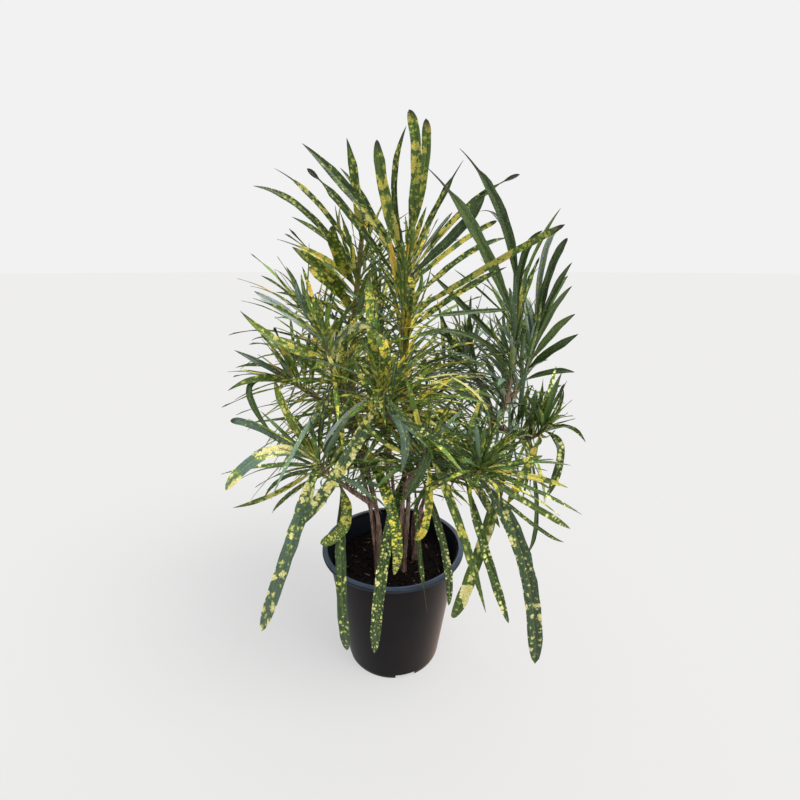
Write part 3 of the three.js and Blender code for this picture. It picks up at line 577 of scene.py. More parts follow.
def grow_row(room, shoot, row, first_seed, indices, keep):
    """The leaves of a row that find room. Those that the solids leave out hide no singly placed leaf."""
    grown = []
    for index in indices:
        for attempt in range(TRIES):
            leaf = filler_leaf(shoot, row, first_seed, index, attempt)
            fits = within_reach(leaf) and room.is_clear(leaf, keep)
            if fits and (keep is SOLID_ROOM or not room.hides(leaf)):
                room.add(leaf.line, leaf.width, leaf.stem)
                grown.append(leaf)
                break
    return grown


def held_places(shoot):
    """The places in a shoot's row whose leaves are in the solids too."""
    return [int(i * STRIDE) for i in range(math.ceil(shoot.leaves.count / STRIDE))]


def grow_leaves():
    """All leaves: the singly placed ones, the rows that the solids hold, and those between them."""
    room = Room()
    for shoot in SHOOTS:
        steps, radii = (TRUNK_STEPS, TRUNK_RADII) if is_trunk(shoot) else (BRANCH_STEPS, BRANCH_RADII)
        line = np.array([shoot_point(shoot, i / steps) for i in range(steps + 1)])
        room.add(line, 2 * radii[0], shoot.stem, wood=True)
    features = place_leaves(room, FEATURE_LEAVES, FEATURE_SEED)
    fillers = []
    for shoot in SHOOTS:
        fillers += grow_row(room, shoot, shoot.leaves, ROW_SEED, held_places(shoot), SOLID_ROOM)
    features += place_leaves(room, SLIGHT_LEAVES, SLIGHT_SEED)
    for shoot in SHOOTS:
        between = [i for i in range(shoot.leaves.count) if i not in held_places(shoot)]
        between = between[:: DENSE_STEP.get(shoot.name, 1)]
        fillers += grow_row(room, shoot, shoot.leaves, ROW_SEED, between, DENSE_ROOM)
    for shoot in SHOOTS:
        row = shoot.leaves
        slender = row._replace(
            start=max(SLENDER_LEAST, row.start - SLENDER_START), open=SLENDER_OPEN,
            count=int(row.count * SLENDER_COUNT[shoot.name]), length=row.length * SLENDER_LENGTH,
            width=SLENDER_WIDTH)
        fillers += grow_row(room, shoot, slender, SLENDER_SEED, range(slender.count), SLENDER_ROOM)
    young = [young_leaf(shoot, i) for shoot in SHOOTS for i in range(YOUNG_LEAVES)]
    return features, fillers + [leaf for leaf in young if within_reach(leaf)]


def is_trunk(shoot):
    return shoot.points[0][2] == STEM_RISE


SHOOT_NAMED = {shoot.name: shoot for shoot in SHOOTS}
STEMS = ["stem_left", "stem_centre", "stem_right", "stem_back"]

# --- Modelling helpers ------------------------------------------------------------------------------


def deselect_all():
    if bpy.context.object and bpy.context.object.mode != "OBJECT":
        bpy.ops.object.mode_set(mode="OBJECT")
    bpy.ops.object.select_all(action="DESELECT")


def make_active(piece):
    deselect_all()
    piece.select_set(True)
    bpy.context.view_layer.objects.active = piece


def apply_modifier(piece, kind, **settings):
    make_active(piece)
    modifier = piece.modifiers.new(kind.lower(), kind)
    for name, value in settings.items():
        setattr(modifier, name, value)
    bpy.ops.object.modifier_apply(modifier=modifier.name)


def apply_place(piece):
    make_active(piece)
    bpy.ops.object.transform_apply(location=True, rotation=True, scale=True)


@contextmanager
def editing():
    """Edit mode, with all of the active piece selected."""
    bpy.ops.object.mode_set(mode="EDIT")
    bpy.ops.mesh.select_all(action="SELECT")
    yield
    bpy.ops.object.mode_set(mode="OBJECT")


def round_body(name, sides, profile):
    """A body round Z: a disc that is extruded and resized along (radius, height) pairs."""
    deselect_all()
    radius, height = profile[0]
    bpy.ops.mesh.primitive_circle_add(
        vertices=sides, radius=radius * MM, fill_type="NGON", location=(0, 0, height * MM))
    piece = bpy.context.object
    piece.name = name
    with editing():
        for next_radius, next_height in profile[1:]:
            rise = (0, 0, (next_height - height) * MM)
            share = next_radius / radius
            bpy.ops.mesh.extrude_region_move(TRANSFORM_OT_translate={"value": rise})
            bpy.ops.transform.resize(value=(share, share, 1))
            radius, height = next_radius, next_height
        bpy.ops.mesh.select_all(action="SELECT")
        bpy.ops.mesh.normals_make_consistent(inside=False)
    apply_place(piece)
    return piece


def smooth_shaded(piece, angle):
    make_active(piece)
    bpy.ops.object.shade_smooth_by_angle(angle=math.radians(angle))


def mesh_piece(name, points, faces):
    """A piece from points in metres and the faces between them."""
    mesh = bpy.data.meshes.new(name)
    mesh.from_pydata(points.tolist(), [], faces)
    mesh.update()
    piece = bpy.data.objects.new(name, mesh)
    bpy.context.scene.collection.objects.link(piece)
    return piece


def take_shape(master):
    """The points and faces of a modelled blank, which is then removed."""
    points = np.array([vertex.co for vertex in master.data.vertices], float)
    faces = [tuple(polygon.vertices) for polygon in master.data.polygons]
    bpy.data.objects.remove(master)
    return points, faces


def copies(faces, size, count):
    return [tuple(corner + size * i for corner in face) for i in range(count) for face in faces]


def stand_for(piece, slot, *nodes):
    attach(piece, "root")
    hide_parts(*nodes)


# --- Materials --------------------------------------------------------------------------------------


def tint(code):
    """A colour from its sRGB hex code, as linear red, green, blue and alpha."""
    parts = [int(code[i : i + 2], 16) / 255 for i in (1, 3, 5)]
    return tuple(c / 12.92 if c <= 0.04045 else ((c + 0.055) / 1.055) ** 2.4 for c in parts) + (1.0,)


class Nodes:
    """A tree of nodes and short ways to add to it."""

    def __init__(self, tree):
        self.tree = tree

    def add(self, kind, sockets, output=0, **settings):
        node = self.tree.nodes.new("ShaderNode" + kind)
        for name, value in settings.items():
            setattr(node, name, value)
        for socket, value in sockets.items():
            if isinstance(value, bpy.types.NodeSocket):
                self.tree.links.new(value, node.inputs[socket])
            else:
                node.inputs[socket].default_value = value
        return node.outputs[output]

    def math(self, operation, a, b=0.0, clamp=False):
        return self.add("Math", {0: a, 1: b}, operation=operation, use_clamp=clamp)

    def times(self, a, b):
        return self.math("MULTIPLY", a, b)

    def plus(self, a, b):
        return self.math("ADD", a, b)

    def minus(self, a, b):
        return self.math("SUBTRACT", a, b)

    def part(self, vector, axis):
        return self.add("SeparateXYZ", {0: vector}, axis)

    def mix(self, factor, a, b):
        return self.add("Mix", {0: factor, 6: a, 7: b}, 2, data_type="RGBA", clamp_factor=True)


class Recipe(Nodes):
    """A material, with the constants of its surface, and its nodes."""

    def __init__(self, name, **constants):
        self.material = bpy.data.materials.new(name)
        self.material.use_nodes = True
        super().__init__(self.material.node_tree)
        self.surface = self.tree.nodes["Principled BSDF"]
        for socket, value in constants.items():
            self.surface.inputs[socket.replace("_", " ")].default_value = value

    def value(self, name):
        return self.add("Attribute", {}, "Fac", attribute_name=name)

    def ramp(self, value, low, high):
        """0 below low, 1 above high and smooth between them."""
        sockets = {"Value": value, "From Min": low, "From Max": high}
        return self.add("MapRange", sockets, interpolation_type="SMOOTHSTEP")

    def layers(self, colour, *layers):
        """A colour with others laid over it in turn, each by a factor."""
        for factor, code in layers:
            colour = self.mix(factor, colour, tint(code))
        return colour

    def scaled(self, vector, factor):
        """A place made larger or smaller, or a colour made lighter or darker, by a factor."""
        return self.add("VectorMath", {0: vector, "Scale": factor}, operation="SCALE")

    def noise(self, place, scale, detail=3.0, output="Fac"):
        return self.add("TexNoise", {"Vector": place, "Scale": scale, "Detail": detail}, output)

    def stretched(self, place, scale):
        return self.add("Mapping", {"Vector": place, "Scale": scale})

    def bump(self, height, strength, distance):
        return self.add("Bump", {"Height": height, "Strength": strength, "Distance": distance})

    def finish(self, **sockets):
        """The material, with more sockets of its surface linked."""
        for socket, value in sockets.items():
            self.tree.links.new(value, self.surface.inputs[socket.replace("_", " ")])
        return self.material


def leaf_material():
    """Green leaf with yellow spots, set by each leaf's own markings, and a pale midrib."""
    recipe = Recipe("croton_leaf", Specular_IOR_Level=0.34)
    uv = recipe.add("UVMap", {}, uv_map="blade")
    pick = recipe.value("pick")
    shift = recipe.add("CombineXYZ", {"X": recipe.times(pick, 13.7), "Y": pick})
    place = recipe.add("VectorMath", {0: uv, 1: shift}, operation="ADD")
    patches, fleck = recipe.noise(place, 38.0, 2.0), recipe.noise(place, 240.0, 4.0)
    depth = spot_depth(recipe, place, patches)
    green, spot = blade_green(recipe, place, pick), spot_yellow(recipe, patches, fleck, depth)
    colour = recipe.mix(recipe.ramp(depth, -0.15, 0.09), green, spot)

    side = recipe.math("ABSOLUTE", recipe.part(uv, "Y"))
    rib = recipe.minus(1.0, recipe.ramp(side, 0.0001, 0.0007))
    colour = recipe.layers(
        colour, (recipe.times(rib, 0.28), "#9aa64a"), (recipe.times(recipe.value("under"), 0.3), "#55683f"),
        (recipe.times(recipe.value("dry"), 0.85), "#1f211a"))
    speckle = recipe.ramp(recipe.noise(place, 560.0), 0.3, 0.7)
    colour = recipe.scaled(colour, recipe.plus(recipe.times(speckle, 0.56), 0.72))

    slant = recipe.minus(recipe.part(uv, "X"), recipe.times(side, 0.7))
    veins = recipe.math("SINE", recipe.times(slant, 2 * math.pi / (VEIN_STEP * MM)))
    relief = recipe.plus(recipe.times(veins, 0.25), fleck)
    roughness = recipe.plus(recipe.times(fleck, 0.25), 0.22)
    return recipe.finish(Base_Color=colour, Normal=recipe.bump(relief, 0.35, 0.0006), Roughness=roughness)


def spot_depth(recipe, place, patches):
    """How deep in a ragged spot a point of a blade lies: below zero between the spots."""
    grains = recipe.scaled(place, recipe.value("grain"))
    wobble = recipe.scaled(recipe.noise(grains, 1.6, 3.0, "Color"), 0.8)
    draw_out = recipe.add("CombineXYZ", {"X": recipe.math("DIVIDE", 1.0, recipe.value("drawn")), "Y": 1.0})
    cells_at = recipe.add("VectorMath", {0: grains, 1: wobble}, operation="ADD")
    cells_at = recipe.add("VectorMath", {0: cells_at, 1: draw_out}, operation="MULTIPLY")
    cell = {"Vector": cells_at, "Scale": 1.0}
    distance = recipe.add("TexVoronoi", cell, "Distance", voronoi_dimensions="2D")
    chance = recipe.add("TexVoronoi", cell, "Color", voronoi_dimensions="2D")
    size = recipe.math("POWER", recipe.add("SeparateColor", {0: chance}, "Red"), 1.6)
    size = recipe.plus(recipe.times(size, 1.7), 0.22)
    size = recipe.times(size, recipe.plus(recipe.ramp(patches, 0.36, 0.62), 0.5))
    depth = recipe.minus(recipe.times(recipe.value("spread"), size), distance)
    ragged = recipe.minus(recipe.noise(grains, 2.4, 4.0), 0.5)
    return recipe.plus(depth, recipe.times(ragged, 0.9))


def blade_green(recipe, place, pick):
    """Streaks of green that lean to light green by chance, and to grey or lime by the marking; the grey is
    partly a painted reflection of the sky.
    """
    cool = recipe.value("cool")
    streaks = recipe.noise(recipe.stretched(place, (70.0, 520.0, 1.0)), 1.0)
    green = recipe.layers(
        tint("#1e2c14"), (recipe.ramp(streaks, 0.3, 0.72), "#3d5625"),
        (recipe.times(recipe.ramp(pick, 0.55, 1.0), 0.38), "#627a2d"),
        # painted reflection: the blue-grey and pale grey stand partly for the sky that the glossy blades
        # reflect
        (recipe.times(recipe.ramp(cool, 0.0, 0.7), 0.7), "#5a7168"),
        (recipe.times(recipe.ramp(cool, 0.7, 1.0), 0.8), "#94a1a6"),
        (recipe.math("MULTIPLY", cool, -1.0, clamp=True), "#66771f"))
    return recipe.scaled(green, recipe.value("tone"))


def spot_yellow(recipe, patches, fleck, depth):
    """Cream, yellow or gold inside a spot, and yellow-green along its edge."""
    lean = recipe.plus(recipe.value("warm"), recipe.minus(patches, 0.55))
    yellow = recipe.layers(
        tint("#ded79a"), (recipe.ramp(lean, 0.0, 0.4), "#cdbf45"), (recipe.ramp(lean, 0.45, 0.9), "#d3962b"),
        (recipe.ramp(fleck, 0.45, 0.75), "#b3b35a"), (recipe.value("dull"), "#968f42"))
    spot = recipe.mix(recipe.ramp(depth, -0.02, 0.26), tint("#738a2c"), yellow)
    return recipe.scaled(spot, recipe.math("MINIMUM", recipe.value("tone"), 1.6))


def bark_material():
    """Grey-brown bark in streaks, greener towards the young tips."""
    recipe = Recipe("croton_bark", Specular_IOR_Level=0.3)
    place = recipe.add("TexCoord", {}, "Object")
    streaks = recipe.noise(recipe.stretched(place, (1.0, 1.0, 0.12)), 420.0, 6.0)
    patches = recipe.noise(place, 60.0, 4.0)
    young = recipe.ramp(recipe.part(place, "Z"), 0.33, 0.52)
    colour = recipe.layers(
        tint("#594038"), (recipe.ramp(streaks, 0.35, 0.65), "#a88d7d"),
        (recipe.ramp(patches, 0.45, 0.8), "#664f40"), (recipe.times(young, 0.75), "#6d7038"))
    relief = recipe.bump(streaks, 0.7, 0.001)
    return recipe.finish(Base_Color=colour, Normal=relief, Roughness=recipe.plus(streaks, 0.35))


def pot_material(name, dark, light, roughness, gloss, painted_sheen=0.0):
    """Worn moulded plastic, between two tones, with a painted warm sheen on its right side, where the light
    falls.
    """
    recipe = Recipe(name, Specular_IOR_Level=gloss, Sheen_Roughness=0.3, Sheen_Tint=tint("#ffd8b8"))
    place = recipe.add("TexCoord", {}, "Object")
    clouds = recipe.noise(place, 14.0, 5.0)
    dust = recipe.noise(place, 480.0)
    colour = recipe.layers(
        tint(dark), (recipe.ramp(clouds, 0.35, 0.7), light),
        (recipe.times(recipe.ramp(dust, 0.68, 0.8), 0.25), "#6f6a66"))
    worn = recipe.plus(recipe.times(clouds, 0.2), roughness)
    # painted sheen: a warm sheen that grows towards the pot's right side and stands for the light that falls
    # there
    right = recipe.ramp(recipe.part(place, "X"), 0.005, 0.065)
    return recipe.finish(Base_Color=colour, Normal=recipe.bump(dust, 0.12, 0.0003), Roughness=worn,
                         Sheen_Weight=recipe.times(right, painted_sheen))


def soil_material(name, dark, light):
    """Damp grains between two tones, darker in clods."""
    recipe = Recipe(name, Roughness=0.95, Specular_IOR_Level=0.15)
    place = recipe.add("TexCoord", {}, "Object")
    grain = recipe.noise(place, 700.0, 5.0)
    clods = recipe.noise(place, 120.0)
    colour = recipe.layers(
        tint(dark), (recipe.ramp(grain, 0.35, 0.75), light), (recipe.ramp(clods, 0.4, 0.7), dark))
    return recipe.finish(Base_Color=colour, Normal=recipe.bump(grain, 0.8, 0.001))


# --- Pot --------------------------------------------------------------------------------------------

# Name, darker and lighter tone, roughness, gloss and painted sheen.
POT_SURFACES = [
    ("pot_wall", "#110d10", "#1b1618", 0.30, 0.09, 0.46),
    # painted reflection: the lip's top is a lighter blue-grey copy of the black plastic, standing for the sky
    # it reflects
    ("pot_rim_top_painted_reflection", "#33445b", "#4b5f79", 0.28, 0.8),
    ("pot_inside", "#0e131d", "#182130", 0.5, 0.2),
    # painted shade: the lip's outer face is a darker copy, standing for the shade that falls on it
    ("pot_rim_side_painted_shade", "#151b26", "#222a37", 0.4, 0.3),
]


def inside_radius(height):
    slope = (WALL_TOP_RADIUS - FOOT_RADIUS) / UNDER_LIP
    return FOOT_RADIUS - WALL + slope * height


def pot_profile():
    """The pot's section as pairs of radius and height: up its outside, over its lip and down inside."""
    foot = [(FOOT_RADIUS - 5, 1.2), (FOOT_RADIUS - 4, 0), (FOOT_RADIUS - 1, 0), (FOOT_RADIUS, 1.2)]
    wall = [(inside_radius(z) + WALL, z) for z in (5.8, 6.6, 9, 45, 90, 130, UNDER_LIP - 1.5)]
    lip = [
        (WALL_TOP_RADIUS + 1, UNDER_LIP - 0.3), (RIM_RADIUS - 1.5, UNDER_LIP),
        (RIM_RADIUS - 0.3, UNDER_LIP + 0.5), (RIM_RADIUS, UNDER_LIP + 1.6),
        (RIM_RADIUS - 0.1, POT_HEIGHT - 1.6), (RIM_RADIUS - 0.8, POT_HEIGHT - 0.8),
        (RIM_RADIUS - 2, POT_HEIGHT - 0.5), (OPENING + 2.2, POT_HEIGHT - 0.5),
        (OPENING + 1.4, POT_HEIGHT), (OPENING + 0.6, POT_HEIGHT), (OPENING, POT_HEIGHT - 0.7)]
    inside = [
        (inside_radius(UNDER_LIP) + 0.6, UNDER_LIP - 0.5), (inside_radius(UNDER_LIP - 3), UNDER_LIP - 3),
        (inside_radius(130), 130), (inside_radius(FLOOR + 2), FLOOR + 2), (inside_radius(FLOOR) - 2, FLOOR)]
    return foot + wall + lip + inside


def cut_drains(pot):
    depth = DRAIN["outer"] - DRAIN["inner"]
    middle = (DRAIN["outer"] + DRAIN["inner"]) / 2
    for i in range(DRAIN["count"]):
        turn = math.radians(DRAIN["first_turn"] + 360 * i / DRAIN["count"])
        deselect_all()
        bpy.ops.mesh.primitive_cube_add(
            size=MM, location=(middle * MM * math.cos(turn), middle * MM * math.sin(turn), 0),
            rotation=(0, 0, turn), scale=(depth, DRAIN["width"], 2 * DRAIN["height"]))
        notch = bpy.context.object
        apply_modifier(pot, "BOOLEAN", operation="DIFFERENCE", solver="EXACT", object=notch)
        bpy.data.objects.remove(notch)


def surface_at(radius, height):
    """The name of the pot's surface at a radius and a height."""
    # painted shade on the lip's outer face
    if height > UNDER_LIP and radius > RIM_RADIUS - 0.5:
        return "pot_rim_side_painted_shade"
    # painted reflection on the lip's top
    if height > UNDER_LIP and radius > OPENING - 1:
        return "pot_rim_top_painted_reflection"
    if height > FLOOR and radius < inside_radius(height) + WALL / 2:
        return "pot_inside"
    return "pot_wall"


def make_pot():
    pot = round_body("nursery_pot", POT_SIDES, pot_profile())
    cut_drains(pot)
    smooth_shaded(pot, 32)
    pot.data.materials.clear()
    for surface in POT_SURFACES:
        pot.data.materials.append(pot_material(*surface))
    names = [surface[0] for surface in POT_SURFACES]
    for face in pot.data.polygons:
        radius, height = math.hypot(*face.center[:2]) / MM, face.center.z / MM
        face.material_index = names.index(surface_at(radius, height))
    stand_for(pot, "pot_plastic", "pot")


# --- Soil -------------------------------------------------------------------------------------------

# How coarse and how strong the soil's relief is, in metres.
SOIL_RELIEF = [("clods", 0.016, 0.007), ("grit", 0.004, 0.0028)]
# Loose bits: how many, their sizes, shape and seed, and their material with its two tones.
LOOSE_BITS = {
    "soil_crumbs": (520, (0.9, 2.9), (1, 1, 0.7), 71, ("soil_crumb", "#120c0a", "#3d2c25")),
    "soil_fibres": (46, (0.5, 1.1), (5.5, 0.7, 0.5), 72, ("soil_fibre", "#6b5345", "#b39c86")),
}
BITS_INSET = 3  # how far they keep from the wall
UNEVENNESS = 0.22
TILT = 0.3


def clouds(name, size):
    texture = bpy.data.textures.new(name, "CLOUDS")
    texture.noise_scale = size
    texture.noise_depth = 3
    return texture


def make_soil():
    bottom = FLOOR + GAP
    edge = inside_radius(SOIL_TOP) - GAP
    rings = [edge * (1 - i / SOIL_RINGS) for i in range(SOIL_RINGS)] + [1.5]
    soil = round_body("soil_body", SOIL_SIDES, [
        (inside_radius(bottom) - 3, bottom), (inside_radius(bottom + 3) - 1, bottom + 3),
        *((r, SOIL_TOP + SOIL_MOUND * (1 - r / edge)) for r in rings)])
    top = soil.vertex_groups.new(name="top")
    top.add([v.index for v in soil.data.vertices if v.co.z > (SOIL_TOP + 0.1) * MM], 1, "REPLACE")
    apply_modifier(soil, "SUBSURF", subdivision_type="SIMPLE", levels=2, render_levels=2)
    for name, size, strength in SOIL_RELIEF:
        apply_modifier(soil, "DISPLACE", texture=clouds(name, size), texture_coords="LOCAL",
                       vertex_group="top", direction="Z", strength=strength, mid_level=0.5)
    soil.vertex_groups.clear()
    smooth_shaded(soil, 60)
    soil.data.materials.append(soil_material("soil_damp", "#0b090a", "#292021"))
    stand_for(soil, "soil", "soil")
    ground = BVHTree.FromPolygons([v.co for v in soil.data.vertices],
                                  [p.vertices for p in soil.data.polygons])
    for name, bits in LOOSE_BITS.items():
        scatter(name, ground, *bits)


def scatter(name, ground, count, sizes, shape, seed, tones):
    """Copies of one uneven lump, each turned, sized and seated on the soil."""
    deselect_all()
    bpy.ops.mesh.primitive_ico_sphere_add(subdivisions=2, radius=1, location=(0, 0, 0))
    with editing():
        bpy.ops.transform.vertex_random(offset=UNEVENNESS, seed=seed)
    lump, faces = take_shape(bpy.context.object)
    draw = np.random.default_rng(seed)
    edge = inside_radius(SOIL_TOP) - BITS_INSET
    points = []
    for _ in range(count):
        turn, out = draw.uniform(0, 2 * math.pi), edge * math.sqrt(draw.uniform(0, 1))
        x, y = out * math.cos(turn) * MM, out * math.sin(turn) * MM
        seat = ground.ray_cast(Vector((x, y, 1)), Vector((0, 0, -1)))[0]
        size = draw.uniform(*sizes) * MM
        spin, tilt = draw.uniform(0, 2 * math.pi), draw.uniform(-TILT, TILT)
        flat = lump * np.array(shape) * size
        flat[:, 2] += flat[:, 0] * math.sin(tilt)
        turned_x = flat[:, 0] * math.cos(spin) - flat[:, 1] * math.sin(spin)
        turned_y = flat[:, 0] * math.sin(spin) + flat[:, 1] * math.cos(spin)
        points.append(np.column_stack((turned_x + x, turned_y + y, flat[:, 2] + seat.z + 0.2 * size)))
    piece = mesh_piece(name, np.vstack(points), copies(faces, len(lump), count))
    smooth_shaded(piece, 50)
    piece.data.materials.append(soil_material(*tones))
    stand_for(piece, "soil", "soil")


# --- Wood -------------------------------------------------------------------------------------------

WOOD_STEP = 3  # between the rings of a stem
NODE_STEP = 13.0  # between the swellings where leaves grew
NODE_SWELLING, NODE_HEIGHT = 0.14, 2.2
FOOT_DEPTH = 30  # of the stems in the soil
FOOT_SWELLING, FOOT_LEVEL, FOOT_HEIGHT = 0.25, 146, 9  # how much, where and how far stems widen at the soil
FORK_SWELLING, FORK_LENGTH = 0.35, 9  # the same where a side shoot leaves its trunk
STRANDS = 3  # thin stems that stand close together in each trunk
STRAND_SHARE = 0.56  # of the trunk's radius
STRAND_SPREAD = 2.6  # how far they part at most, besides half the trunk's radius
STRAND_TURNS = 0.55  # how far they wind round each other
PARTING, MEETING = (0.06, 0.3), (0.45, 0.75)  # the shares of a trunk where they part and close up again
STRAY_WOOD = 0.18
WOOD_SEED = 300
MEASURE_STEPS = 40
END_RINGS, END_SHARE = 4, 0.45  # the last rings narrow to this share


def shoot_length(shoot):
    line = [shoot_point(shoot, i / MEASURE_STEPS) for i in range(MEASURE_STEPS + 1)]
    return float(np.linalg.norm(np.diff(line, axis=0), axis=1).sum())


def bulge(places, middle, spread):
    """1 in the middle and less away from it."""
    return np.exp(-(((places - middle) / spread) ** 2))


def wood_lines(shoot):
    """The middle line and the radii of each thin stem of a shoot, in millimetres."""
    trunk = is_trunk(shoot)
    foot, top = TRUNK_RADII if trunk else BRANCH_RADII
    steps = int(shoot_length(shoot) / WOOD_STEP)
    line = [shoot_point(shoot, i / steps) for i in range(steps + 1)]
    if trunk:
        line = [line[0] - UP * depth for depth in range(FOOT_DEPTH, 0, -WOOD_STEP)] + line
    line = np.array(line)
    draw = np.random.default_rng(SHOOTS.index(shoot) + WOOD_SEED)
    rings = np.arange(len(line))
    along, distance = rings / (len(line) - 1), rings * WOOD_STEP
    radii = foot + (top - foot) * along
    narrowed = END_SHARE + (1 - END_SHARE) * np.minimum(1, (len(line) - rings) / END_RINGS)
    for strand in range(STRANDS if trunk else 1):
        start = draw.uniform(0, NODE_STEP)
        swelling = NODE_SWELLING * bulge((distance + start) % NODE_STEP, NODE_STEP / 2, NODE_HEIGHT)
        wander = draw.normal(0, STRAY_WOOD, (len(line), 3))
        if trunk:
            turn = 2 * math.pi * (strand / STRANDS + STRAND_TURNS * along) + SHOOTS.index(shoot)
            parted = smooth(along, *PARTING) * (1 - smooth(along, *MEETING))
            apart = radii * 0.5 + STRAND_SPREAD * parted
            aside = np.column_stack((np.cos(turn), np.sin(turn), 0 * turn)) * apart[:, None]
            at_soil = 1 + FOOT_SWELLING * bulge(line[:, 2], FOOT_LEVEL, FOOT_HEIGHT)
            thick = radii * STRAND_SHARE * (1 + swelling) * at_soil
        else:
            aside = np.zeros_like(line)
            thick = radii * (1 + swelling + FORK_SWELLING * np.exp(-distance / FORK_LENGTH))
        yield line + aside + wander, thick * narrowed


def make_wood(stem, material):
    """The bark-covered wood of all shoots of a stem, as one piece."""
    curve = bpy.data.curves.new(stem + "_wood", "CURVE")
    curve.dimensions = "3D"
    curve.bevel_depth = MM
    curve.bevel_resolution = 3
    curve.use_fill_caps = True
    for shoot in SHOOTS:
        if shoot.stem != stem:
            continue
        for line, radii in wood_lines(shoot):
            spline = curve.splines.new("POLY")
            spline.points.add(len(line) - 1)
            for i, (point, radius) in enumerate(zip(line, radii)):
                spline.points[i].co = (*(point * MM), 1)
                spline.points[i].radius = radius
    wood = bpy.data.objects.new(stem + "_wood", curve)
    bpy.context.scene.collection.objects.link(wood)
    make_active(wood)
    bpy.ops.object.convert(target="MESH")
    wood = bpy.context.object
    with editing():
        bpy.ops.mesh.remove_doubles(threshold=0.00001)
        bpy.ops.mesh.normals_make_consistent(inside=False)
    apply_modifier(wood, "DISPLACE", texture=clouds(stem + "_bark", 0.004), texture_coords="LOCAL",
                   strength=0.0009, mid_level=0.5)
    smooth_shaded(wood, 60)
    wood.data.materials.clear()
    wood.data.materials.append(material)
    stand_for(wood, "bark", stem)


# --- Leaves -----------------------------------------------------------------------------------------

# The pieces of foliage: their names, the stations along and across a blade, the share of its full width
# that a blade has, how light its green is, and how much that differs between leaves. The tufts' much
# lighter green is painted light against the shade inside the plant.
Foliage = namedtuple("Foliage", "prefix along across share tone swing")
PLACED_LEAVES = Foliage("leaves_", 22, 6, 0.94, 1.12, 0.35)
# painted light: the tufts inside the plant are made much lighter to offset the shade they stand in
LEAF_TUFTS = Foliage("tuft_", 10, 2, 0.92, 2.38, 1.0)
LIGHTEST = (3.2, -1.8)  # the lightest green, and what is added to that as it leans to grey
SPOT_SIZES = (0.7, 0.6)  # the least share of a marking's size of spots, and what a leaf's pick adds
FADE_MIDDLE = 0.45  # where a blade has just its marking's share of yellow
NOTES = ("pick", "dry", "under", "spread", "grain", "drawn", "warm", "cool", "dull", "tone")
VEIN_STEP = 4

PETIOLE = 0.9  # half width of a blade's stalk
THINNEST = 0.12
# Curled blades look narrower than they are: the share of their width, by their marking.
CURLED = {"lime": 0.74, "sage": 0.74, "silver": 0.8, "barred": 0.8, "limebars": 0.88}
# How much of a blade each kind of end takes, and how slowly it narrows there at first.
ENDS = {
    "point": (0.27, 0.8), "round": (0.2, 0.5), "blunt": (0.1, 0.45), "thread": (0.3, 0.6),
    "paddle": (0.06, 0.5),
}
# How much a blade narrows to its tail, or a tail widens at its end, and where that starts and ends.
THREAD_TAIL = (0.68, 0.70, 0.82)
PADDLE_TAIL, PADDLE_END = (0.82, 0.70, 0.79), (0.6, 0.84, 0.91)
WIDENING = (0.03, 0.33)  # where a blade widens from its stalk
DRY_TAIL, DRY_TIP = (0.72, 0.84), (0.87, 0.97)  # where a tail or a tip turns dry
LEAN = 44  # degrees between upright leaves at most
FOLDS = (0.16, 0.5)  # how steeply the halves of a blade rise from its midrib
CUPPING = 0.09  # how much they bulge on the way
WAVE_LENGTHS = (22, 34)
SIDE_WAVE, EDGE_WAVE = 0.07, 0.16  # how far the edges wave within the blade and out of it, by its width
LONG_WAVE = 0.010  # how far a blade waves, by its length
BLADE_HALF_THICKNESS = (0.5, 0.9)  # and how much thicker it is at its root
RIB_DEPTH, RIB_SHARE = 0.35, 0.15  # of the midrib below a blade


def blade_blank(along, across):
    """A flat closed blade, 0 to 1 along X and -1 to 1 across Y, with its stations closer at its ends."""
    deselect_all()
    bpy.ops.mesh.primitive_grid_add(x_subdivisions=along, y_subdivisions=across, size=2, location=(0, 0, 0))
    blank = bpy.context.object
    with editing():  # from a square of two by two to a length of one
        bpy.ops.transform.resize(value=(0.5, 1, 1))
        bpy.ops.transform.translate(value=(0.5, 0, 0))
    apply_modifier(blank, "SOLIDIFY", thickness=1, offset=0)
    points, faces = take_shape(blank)
    points[:, 0] -= 0.075 * np.sin(2 * math.pi * points[:, 0])
    points[:, 1] = np.sign(points[:, 1]) * np.abs(points[:, 1]) ** 1.25
    return points, faces


def step_by(t, amount, low, high):
    return amount * smooth(t, low, high)


def half_width(leaf, t, share):
    """A narrow stalk, a long strap and an end: a point, a rounded or cut-off end, or a narrow tail that
    runs out in a thread or widens once more."""
    length, power = ENDS[leaf.end]
    fall = np.clip((1 - t) / length, 0, 1) ** power
    if leaf.end == "thread":
        fall = fall * (1 - step_by(t, *THREAD_TAIL))
    elif leaf.end == "paddle":
        fall = fall * (1 - step_by(t, *PADDLE_TAIL) * (1 - step_by(t, *PADDLE_END)))
    widest = share * CURLED.get(leaf.marking, 1) * leaf.width / 2
    return np.maximum(PETIOLE * (1 - t) + THINNEST, widest * (0.2 + 0.8 * smooth(t, *WIDENING)) * fall)


def dry_end(leaf, t):
    """How dark and dry the end of a leaf is: all of its tail, or only the tip of one that stands up."""
    if leaf.end in ("thread", "paddle"):
        return smooth(t, *DRY_TAIL)
    return smooth(t, *DRY_TIP) * float(leaf.tip[2] > leaf.base[2])


def lean_of(leaf):
    """How far a singly placed leaf is turned out of the front, in degrees. Hanging ones aren't."""
    faces_front = leaf.tip[2] < leaf.base[2] or leaf.marking == "banded"
    return 0 if faces_front else (leaf.pick - 0.5) * LEAN


